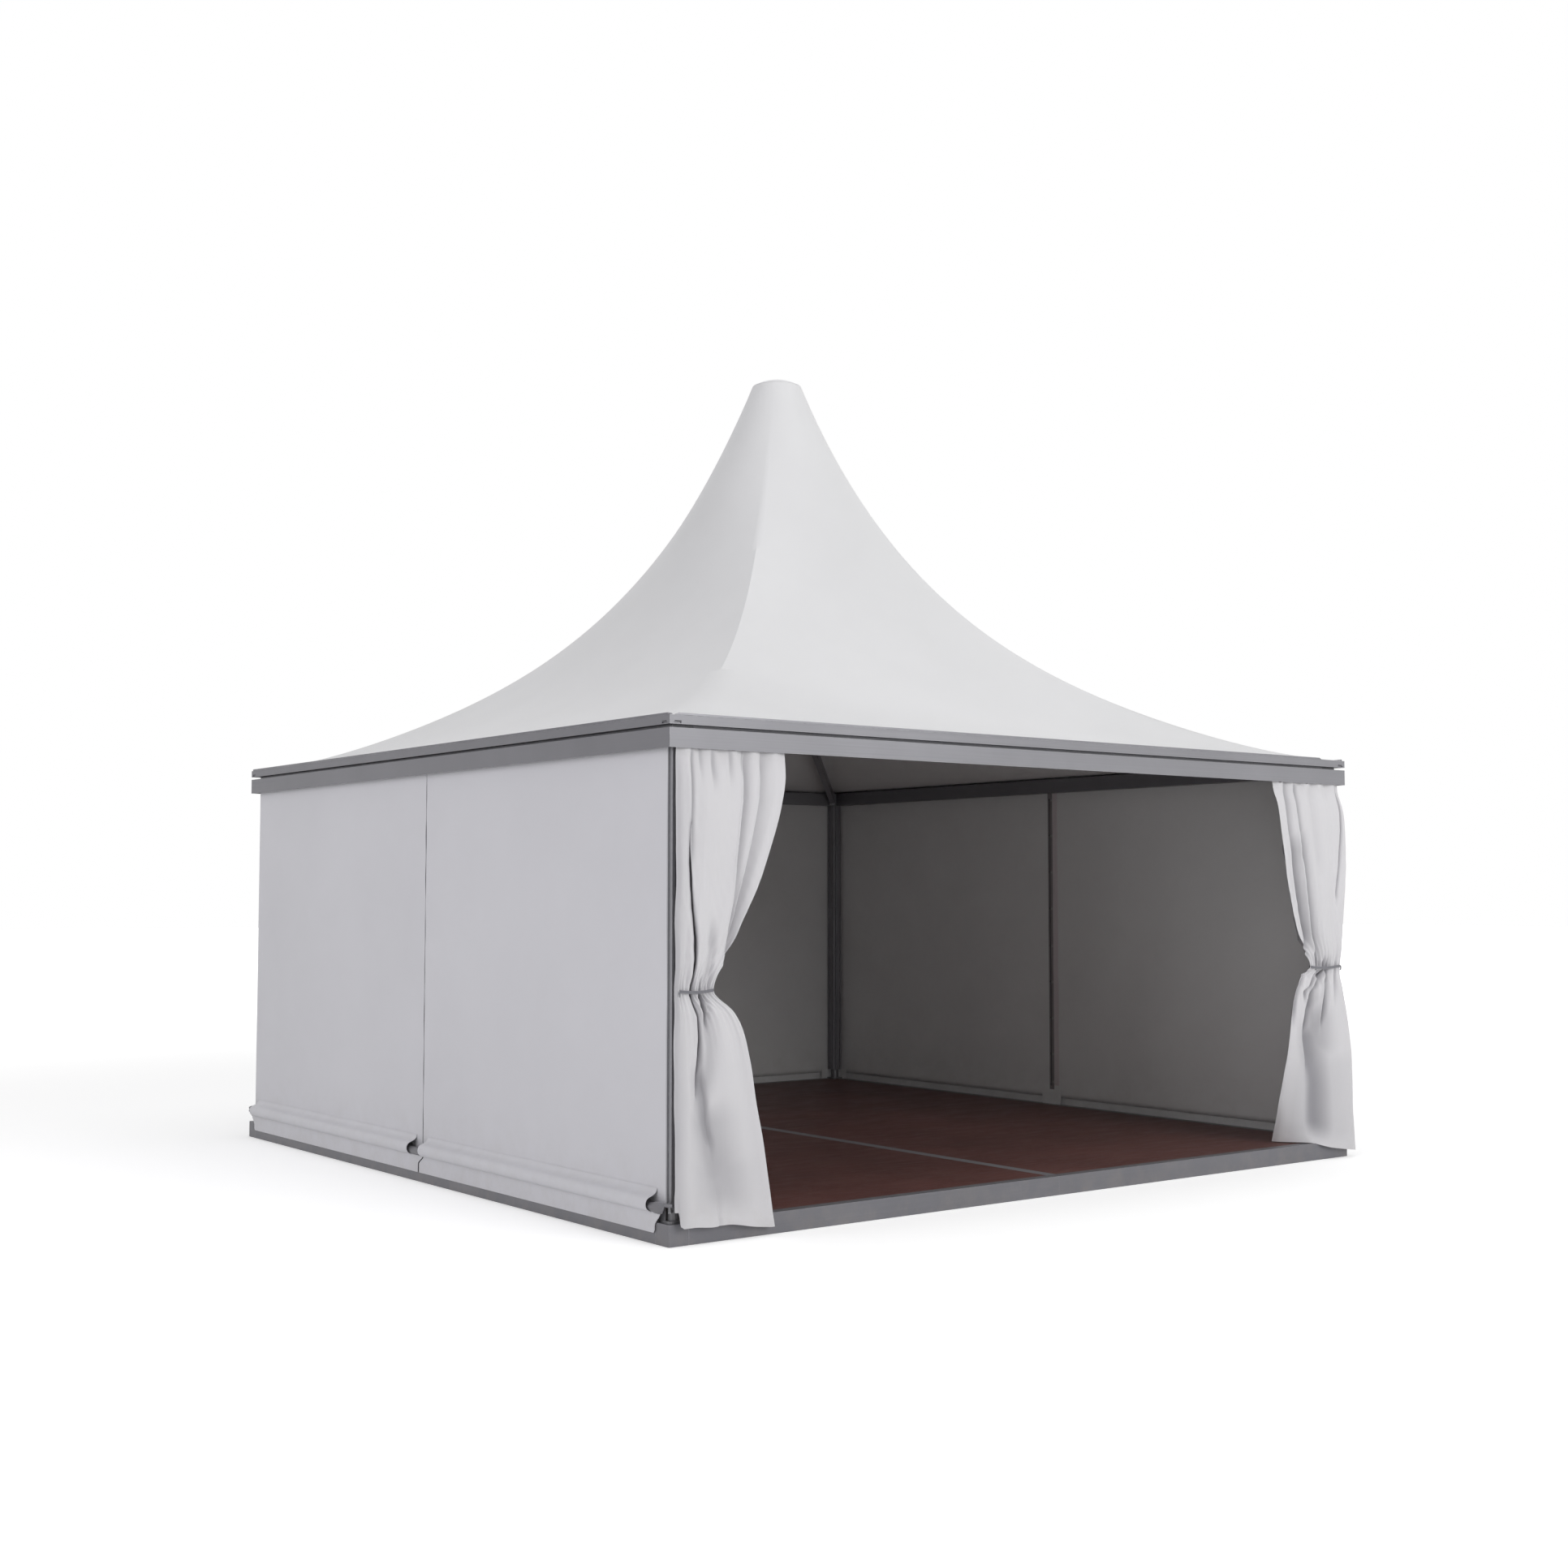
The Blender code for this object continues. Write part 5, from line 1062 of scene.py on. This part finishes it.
def makeTie(name):
    tied = tie[name]["curtain"]
    cloth, sign, level = curtainPoints[tied], curtain[tied]["sign"], curtain[tied]["tie"]
    near = cloth[np.abs(cloth[..., 2].mean(1) - level) < band["grip"]][..., :2].reshape(-1, 2)
    # the turned back outer edge stays outside the band
    near = near[np.abs(near[:, 0]) < tie[name]["outermost"]]
    ring = outlineAround(near)
    ring = np.concatenate([ring, ring[:1]])
    reach = reachAlong(ring)
    at = np.arange(band["steps"]) / band["steps"] * reach[-1]
    ring = np.stack([np.interp(at, reach, ring[:, 0]), np.interp(at, reach, ring[:, 1])], -1)
    for _ in range(band["easing"]):
        ring = (np.roll(ring, 1, 0) + 2 * ring + np.roll(ring, -1, 0)) / 4
    along = np.roll(ring, -1, 0) - np.roll(ring, 1, 0)
    outward = np.stack([along[:, 1], -along[:, 0]], -1) / np.linalg.norm(along, axis=1)[:, None]
    height = np.interp(ring[:, 0], *zip(*tie[name]["sag"]))
    rows = []
    for share in np.linspace(-0.5, 0.5, band["rows"]):
        crown = band["clear"] + band["thickness"] + band["crown"] * (1 - (2 * share)**2)
        spot = ring + outward * crown
        spot[:, 1] = np.maximum(spot[:, 1], hang["nearest"] + band["crown"])
        rows.append(np.concatenate([spot, (height + share * band["height"])[:, None]], 1))
    loop = gridPiece(name, np.array(rows), closed=True)
    area = sheetArea(loop)
    thicken(loop, band["thickness"])

    # the band's sewn end hangs a little below it beside the post
    middle, end = rows[band["rows"] // 2], band["end"]
    x, y, z = middle[np.argmax(sign * middle[:, 0] - 3 * np.abs(middle[:, 1] - band["postFace"]))]
    down = np.linspace(1, 0, 9)[:, None]
    across = np.array([-1, 0, 1])[None, :]
    tab = np.stack(np.broadcast_arrays(
        x + sign * (0.0006 + 0.0012 * np.sin(3 * down)) + end["half"] * across,
        y - end["before"] - 0.001 * np.sin(4 * down), z + end["above"] - end["length"] * down), -1)
    tabSheet = gridPiece(name + "_end", tab)
    area += sheetArea(tabSheet)
    thicken(tabSheet, end["thickness"])
    piece = joinPieces(name + "_band", [loop, tabSheet])
    smoothPiece(piece, 50)
    settle(piece, curtain[tied]["body"], "tieBand", [name])


for name in tie:
    makeTie(name)

# rings that carry the curtains in the rail
hookRing = {"radius": 0.0085, "wire": 0.0011, "centre": (-2.487, 2.3088), "inset": 0.0045,
            "glider": (0.006, 0.0075, 0.012), "gliderRise": 0.42, "gliderBevel": 0.0012}


def makeRings(name):
    header = curtainPoints[name][-1, :, 0]
    hooks = np.linspace(header.min(), header.max(), hang["hooks"])
    hooks[0] += hookRing["inset"]
    hooks[-1] -= hookRing["inset"]
    y, z = hookRing["centre"]
    ring = wireRing((0, y + hookRing["radius"], z), (0, y, z), (1, 0, 0), hookRing["wire"], 28)
    rise = hookRing["radius"] + hookRing["glider"][2] * hookRing["gliderRise"]
    glider = softBox((0, y, z + rise), hookRing["glider"], hookRing["gliderBevel"])
    first = joinPieces(name + "_ring", [ring, glider])
    piece = copiesAlong(name + "_rings", first, 0, hooks)
    smoothPiece(piece, 40)
    settle(piece, curtain[name]["body"], "zincRing")


for name in curtain:
    makeRings(name)
print("curtains, ties and rings made")

# lacing: a slack doubled cord down each seam, knotted at each loop
lacing = {
    "knots": (2.285, 2.027, 1.764, 1.501, 1.235, 0.976, 0.718, 0.460, 0.2425),
    "top": 2.2925,
    "bottom": 0.2345,
    "out": 2.4747,
    "diameter": 0.003,
    "close": 0.0019,
    "slack": 0.0046,
    "turn": 0.0062,
    "turnRise": 0.004,
    "drift": 0.0012,
    "driftWaves": 5.3,
    "knotSize": 0.00175,
    "knotCord": 0.0016,
    "knotIn": 0.0032,
}


def tubeAround(name, path, radius, around=8):
    path = np.asarray(path, float)
    along = np.gradient(path, axis=0)
    along /= np.linalg.norm(along, axis=1)[:, None]
    across = np.empty((len(path), 3))
    carried = np.cross(along[0], (0.31, 0.17, 0.93))
    across[0] = carried / np.linalg.norm(carried)
    for i in range(1, len(path)):
        carried = across[i - 1] - along[i] * np.dot(across[i - 1], along[i])
        across[i] = carried / np.linalg.norm(carried)
    other = np.cross(along, across)
    angle = (np.arange(around) / around * 2 * math.pi)[None, :, None]
    rings = path[:, None] + radius * (np.cos(angle) * across[:, None] + np.sin(angle) * other[:, None])
    piece = gridPiece(name, rings, closed=True)
    selectOnly(piece)
    bpy.ops.object.mode_set(mode="EDIT")
    bpy.ops.mesh.select_all(action="DESELECT")
    bpy.ops.mesh.select_non_manifold()
    bpy.ops.mesh.edge_face_add()
    closeMesh()
    return piece


def makeLacing(side, seed):
    knots = np.array(lacing["knots"])
    close = lacing["close"]

    def drift(z):
        return lacing["drift"] * math.sin(z * lacing["driftWaves"] + seed)

    legs = [(close, lacing["top"])]
    for upper, lower in zip(knots[:-1], knots[1:]):
        for share in np.arange(10) / 10:
            bow = math.sin(math.pi * share) * (0.8 + 0.2 * math.sin(upper * 9 + seed))
            legs.append((close + (lacing["slack"] - close) * bow, upper + (lower - upper) * share))
    legs.append((close, knots[-1]))
    left = [(-t + drift(z), z) for t, z in legs]
    right = [(t + drift(z) * 0.6, z) for t, z in legs][::-1]
    size, level = lacing["turn"], lacing["bottom"] + lacing["turnRise"]
    turn = [(drift(knots[-1]) - size * math.cos(a), level - size * math.sin(a))
            for a in np.linspace(0.0, math.pi, 9)]
    line = np.array(left[:-1] + turn + right[1:])
    path = toSide(side, line[:, 0], lacing["out"], line[:, 1])
    cord = tubeAround("lacing_" + side + "_cord", path, lacing["diameter"] / 2)
    smoothPiece(cord, 60)

    angle = np.linspace(0, 2 * math.pi, 49)[:-1]
    trefoil = np.stack([np.sin(angle) + 2 * np.sin(2 * angle), -np.sin(3 * angle) * 1.2,
                        np.cos(angle) - 2 * np.cos(2 * angle)]) * lacing["knotSize"]
    knotPieces = []
    for i, z in enumerate(knots):
        centre = toSide(side, drift(z), lacing["out"] - lacing["knotIn"], z)
        turned = toSide(side, trefoil[0], trefoil[1], trefoil[2] * (1.15 if i % 2 else 1.0))
        ring = np.concatenate([turned, turned[:1]]) + centre
        knotPieces.append(tubeAround("knot", ring, lacing["knotCord"], 7))
    knotsPiece = joinPieces("lacing_" + side + "_knots", knotPieces)
    smoothPiece(knotsPiece, 60)
    settle(knotsPiece, "tent", "laceCord")
    settle(cord, "tent", "laceCord", ["lacing_" + side])


for i, side in enumerate(walledSides):
    makeLacing(side, i * 1.9)

# eyelets, the strip beside each seam on the inside, and the flap behind the seam, whose near-black outer face
# is painted shade in the seam's gap
seam = {
    "inside": 2.4768,
    "eyelet": {"at": -0.0155, "radius": 0.0062, "wire": 0.0012, "below": 0.004, "last": 0.262},
    "strip": {"ends": (-0.027, -0.074), "low": 0.235, "high": 2.335, "thickness": 0.0012, "wave": 0.0012,
              "off": 0.0006, "puff": 0.0007, "crown": 0.0010},
    "flap": {"ends": (-0.024, 0.020), "low": 0.202, "high": 2.345, "thickness": 0.0008, "wave": 0.0006,
             "out": 2.4772},
    "panel": {"right": "wall_right_front_sheet", "back": "wall_back_right_sheet",
              "left": "wall_left_back_sheet"},
}
patch = {"out": 2.4756, "low": 0.1022, "high": 0.206, "thickness": 0.0008, "wave": 0.0003,
         "spans": ((-2.437, -2.330), (-0.092, 0.092), (2.330, 2.437))}


def makeEyelets(side):
    eyelet = seam["eyelet"]
    level = 1.0
    centre = toSide(side, eyelet["at"], seam["inside"], level)
    start = centre + toSide(side, eyelet["radius"], 0.0, 0.0)
    ring = wireRing(start.tolist(), centre.tolist(), toSide(side, 0.0, 1.0, 0.0).tolist(), eyelet["wire"], 24)
    heights = np.array(lacing["knots"][:-1] + (eyelet["last"],))
    piece = copiesAlong("eyelets_" + side, ring, 2, heights - level - eyelet["below"])
    smoothPiece(piece, 50)
    settle(piece, "tent", "zincRing")


def makeSeam(side, seed):
    flap = seam["flap"]
    near, far = flap["ends"]
    z = np.linspace(flap["low"], flap["high"], 60)[:, None]
    t = near + (far - near) * np.linspace(0, 1, 5)[None, :] + flap["wave"] * ripple(z, 0 * z, seed + 2, 0.4)
    piece = gridPiece("seam_flap_" + side, toSide(side, t, flap["out"], z))
    # the outer face is near black, painted shade seen through the seam's gap
    addMaterials(piece, "slotPlug", "seamFlap")
    thicken(piece, flap["thickness"], offset=0.0, lining=1)
    smoothPiece(piece, 50)
    settle(piece, "tent", None)

    strip = seam["strip"]
    near, far = strip["ends"]
    z = np.linspace(strip["low"], strip["high"], 90)[:, None]
    share = np.linspace(0, 1, 7)[None, :]
    t = far + (near - far) * share + strip["wave"] * ripple(z, 0 * z, seed, 0.5)
    n = seam["inside"] - strip["off"] + strip["puff"] * ripple(z, t, seed + 1, 0.25) \
        - strip["crown"] * (1 - (2 * share - 1)**2)
    piece = gridPiece("seam_strip_" + side, toSide(side, t, n, z))
    thicken(piece, strip["thickness"], offset=0.0)
    smoothPiece(piece, 50)
    settle(piece, "tent", "seamStrip")


def makePatches(side, seed):
    # behind the pockets' ends, three patches close the gaps at the seam and beside the posts; their dark outer
    # face is painted shade for those gaps
    pieces = []
    z = np.linspace(patch["low"], patch["high"], 12)[:, None]
    for i, (begin, end) in enumerate(patch["spans"]):
        t = np.linspace(begin, end, 15)[None, :]
        out = patch["out"] + patch["wave"] * ripple(t, z, seed + i, 0.06)
        pieces.append(gridPiece("patch", toSide(side, t, out, z)))
        # dark outside: painted shade for the gaps, with the grey lining inside
        addMaterials(pieces[-1], "kederEdge", "greyLining")
    for piece in pieces:
        thicken(piece, patch["thickness"], offset=0.0, lining=1)
    piece = joinPieces("pocket_patches_" + side, pieces)
    smoothPiece(piece, 50)
    settle(piece, "tent", None)


for i, side in enumerate(walledSides):
    makeEyelets(side)
    makeSeam(side, 130 + 3 * i)
    makePatches(side, 150 + 5 * i)
print("lacing and seams made")

# cap over the peak
cap = {
    "skirt": 0.1568,
    "skirtLow": 4.861,
    "lip": 0.1598,
    "lipHeight": 4.9032,
    "top": 4.9495,
    "thickness": 0.003,
    "around": 72,
    "dome": (0.97, 0.92, 0.85, 0.75, 0.63, 0.5, 0.37, 0.24, 0.12, 0.04),
}


def makeCap():
    skirt, low, lip, level = cap["skirt"], cap["skirtLow"], cap["lip"], cap["lipHeight"]
    rise = cap["top"] - level
    sphere = (lip**2 + rise**2) / (2 * rise)
    profile = [(skirt, low + 0.001), (skirt, level - 0.0022), (skirt + 0.0012, level - 0.0006),
               (lip - 0.0004, level), (lip, level + 0.0012), (lip - 0.0012, level + 0.0026)]
    for share in cap["dome"]:
        radius = (lip - 0.0012) * share
        profile.append((radius, cap["top"] - (sphere - math.sqrt(sphere**2 - radius**2))))
    bpy.ops.object.select_all(action="DESELECT")
    bpy.ops.mesh.primitive_circle_add(vertices=cap["around"], radius=skirt, location=(0, 0, low))
    piece = bpy.context.object
    bakePlace(piece)
    bpy.ops.object.mode_set(mode="EDIT")
    bpy.ops.mesh.select_all(action="SELECT")
    radius, height = skirt, low
    for nextRadius, nextHeight in profile:
        bpy.ops.mesh.extrude_edges_move(TRANSFORM_OT_translate={"value": (0, 0, nextHeight - height)})
        factor = nextRadius / radius
        bpy.ops.transform.resize(value=(factor, factor, 1), center_override=(0, 0, nextHeight))
        radius, height = nextRadius, nextHeight
    bpy.ops.mesh.edge_face_add()
    bpy.ops.mesh.poke()
    closeMesh()
    piece = joinPieces("peak_cap_shell", [piece])
    thicken(piece, cap["thickness"])
    smoothPiece(piece, 40)
    settle(piece, "mast", "capPlastic", ["peak_cap"])


makeCap()

# keder cover strips lie on the upper rail and stop short of the corners
coverStrip = {
    "inner": 2.4875,
    "outer": 2.5138,
    "low": 2.4264,
    "high": 2.4372,
    "slope": 0.022,
    "backFall": 0.0035,
    "bevel": 0.0014,
    "ends": {"front": (-2.486, 2.292), "right": (-2.497, 2.497), "back": (-2.452, 2.452),
             "left": (-2.497, 2.497)},
}


def makeCoverStrip(side):
    low, high = coverStrip["low"], coverStrip["high"]
    begin, end = coverStrip["ends"][side]
    slope = coverStrip["slope"] if abs(begin) < 2.49 else 0.0   # the strips of the left and right end square
    middle = (coverStrip["inner"] + coverStrip["outer"]) / 2

    def shape(corners):
        for corner in corners:
            if corner.co.z > (low + high) / 2:
                corner.co.x += slope if corner.co.x < 0 else -slope
                if corner.co.y > -middle:
                    corner.co.z -= coverStrip["backFall"]   # the back falls away under the membrane

    turns = sides.index(side)
    piece = softBox(((begin + end) / 2, -middle, (low + high) / 2),
                    (end - begin, coverStrip["outer"] - coverStrip["inner"], high - low),
                    coverStrip["bevel"], shape, turns)
    piece = joinPieces("cover_strip_" + side, [piece])
    smoothPiece(piece, 35)
    # the side strips take the darker copy of the metal, painted shade
    settle(piece, "tent", "extrudedSide" if turns % 2 else "extrudedX")


# near-black blocks in the rail's end slots, two at each corner: painted shade standing in for the open slots
slotShade = {"face": 2.5148, "stand": 0.0008, "height": 0.0052, "along": (2.450, 2.488), "level": 2.398,
        "bevel": 0.0006}


def makeSlotShades(side):
    near, far = slotShade["along"]
    size = (far - near, slotShade["stand"] * 2, slotShade["height"])
    pieces = []
    for hand in (-1, 1):
        place = (hand * (near + far) / 2, -slotShade["face"], slotShade["level"])
        pieces.append(softBox(place, size, slotShade["bevel"], turns=sides.index(side)))
    piece = joinPieces("slot_plugs_" + side, pieces)
    smoothPiece(piece, 35)
    settle(piece, "tent", "slotPlug")


for side in sides:
    makeCoverStrip(side)
for side in sides:
    makeSlotShades(side)
print("cap and cover strips made")

# lamps, floor and backdrop
light = {
    "world": 0.44,
    "backdrop": 1.0,
    "floorSize": 160,
    "floorLevel": -0.0006,
    "floorGlow": 0.39,
    "glowFrom": (5.0, 22.0),
    "aim": (0, 0, 1.8),
    "lamps": {
        "keyLamp": {"place": (3.0, -16.5, 8.0), "size": 8.0, "power": 930.0, "color": (1, 1, 1)},
        "fillLamp": {"place": (-15.0, -3.0, 7.0), "size": 9.0, "power": 330.0, "color": (0.955, 0.935, 1.0)},
        "topLamp": {"place": (0.0, -2.0, 14.0), "size": 10.0, "power": 390.0, "color": (1, 1, 1)},
    },
}


def makeFloor():
    # the floor keeps the shadow near the tent and turns into the white backdrop further off
    bpy.ops.object.select_all(action="DESELECT")
    bpy.ops.mesh.primitive_plane_add(size=light["floorSize"], location=(0, 0, light["floorLevel"]))
    floor = bpy.context.object
    floor.name = "studio_floor"
    near, far = light["glowFrom"]
    shine = {"Roughness": 0.9, "Specular IOR Level": 0.1, "Base Color": (0.9, 0.9, 0.9, 1),
             "Emission Color": (1, 1, 1, 1)}
    material, tree, nodes = newMaterial("paleFloor", shine, {
        "rays": ("LightPath", (0, 300)),
        "seen": ("Math", (200, 300), {"operation": "MAXIMUM"}),
        "glow": ("Math", (400, 300), {"operation": "MULTIPLY"}),
        "place": ("TexCoord", (-400, 0)),
        "distance": ("VectorMath", (-200, 0), {"operation": "LENGTH"}),
        "fade": ("MapRange", (200, 0), {"interpolation_type": "SMOOTHSTEP", "From Min": near, "From Max": far,
                                        "To Min": light["floorGlow"], "To Max": 1.0}),
    })
    connect(tree, nodes, "place.Object > distance.0", "distance.Value > fade.Value", "fade.Result > glow.1",
            "rays.Is Camera Ray > seen.0", "rays.Is Glossy Ray > seen.1", "seen.0 > glow.0",
            "glow.0 > shader.Emission Strength")
    floor.data.materials.append(material)


def makeWorld():
    # the backdrop is white to look at, and dimmer as a light
    world = bpy.data.worlds.new("studio")
    bpy.context.scene.world = world
    world.use_nodes = True
    world.node_tree.nodes.clear()
    white = (1, 1, 1, 1)
    nodes = addNodes(world.node_tree, {
        "out": ("OutputWorld", (500, 0)),
        "plain": ("Background", (0, 100), {"Color": white, "Strength": light["world"]}),
        "white": ("Background", (0, -100), {"Color": white, "Strength": light["backdrop"]}),
        "rays": ("LightPath", (-400, 300)),
        "first": ("Math", (-200, 300), {"operation": "MAXIMUM"}),
        "second": ("Math", (0, 300), {"operation": "MAXIMUM"}),
        "mix": ("MixShader", (250, 0)),
    })
    connect(world.node_tree, nodes, "rays.Is Camera Ray > first.0", "rays.Is Glossy Ray > first.1",
            "rays.Is Transmission Ray > second.1", "first.0 > second.0", "second.0 > mix.0",
            "plain.0 > mix.1", "white.0 > mix.2", "mix.0 > out.0")


def makeLamp(name, place, size, power, color):
    bpy.ops.object.select_all(action="DESELECT")
    aim = (Vector(light["aim"]) - Vector(place)).to_track_quat("-Z", "Y").to_euler()
    bpy.ops.object.light_add(type="AREA", location=place, rotation=aim)
    lamp = bpy.context.object
    lamp.name = name
    lamp.data.size = size
    lamp.data.energy = power
    lamp.data.color = color


makeFloor()
makeWorld()
for name, lamp in light["lamps"].items():
    makeLamp(name, **lamp)
bpy.context.scene.view_settings.view_transform = "Standard"
print("stage lit")
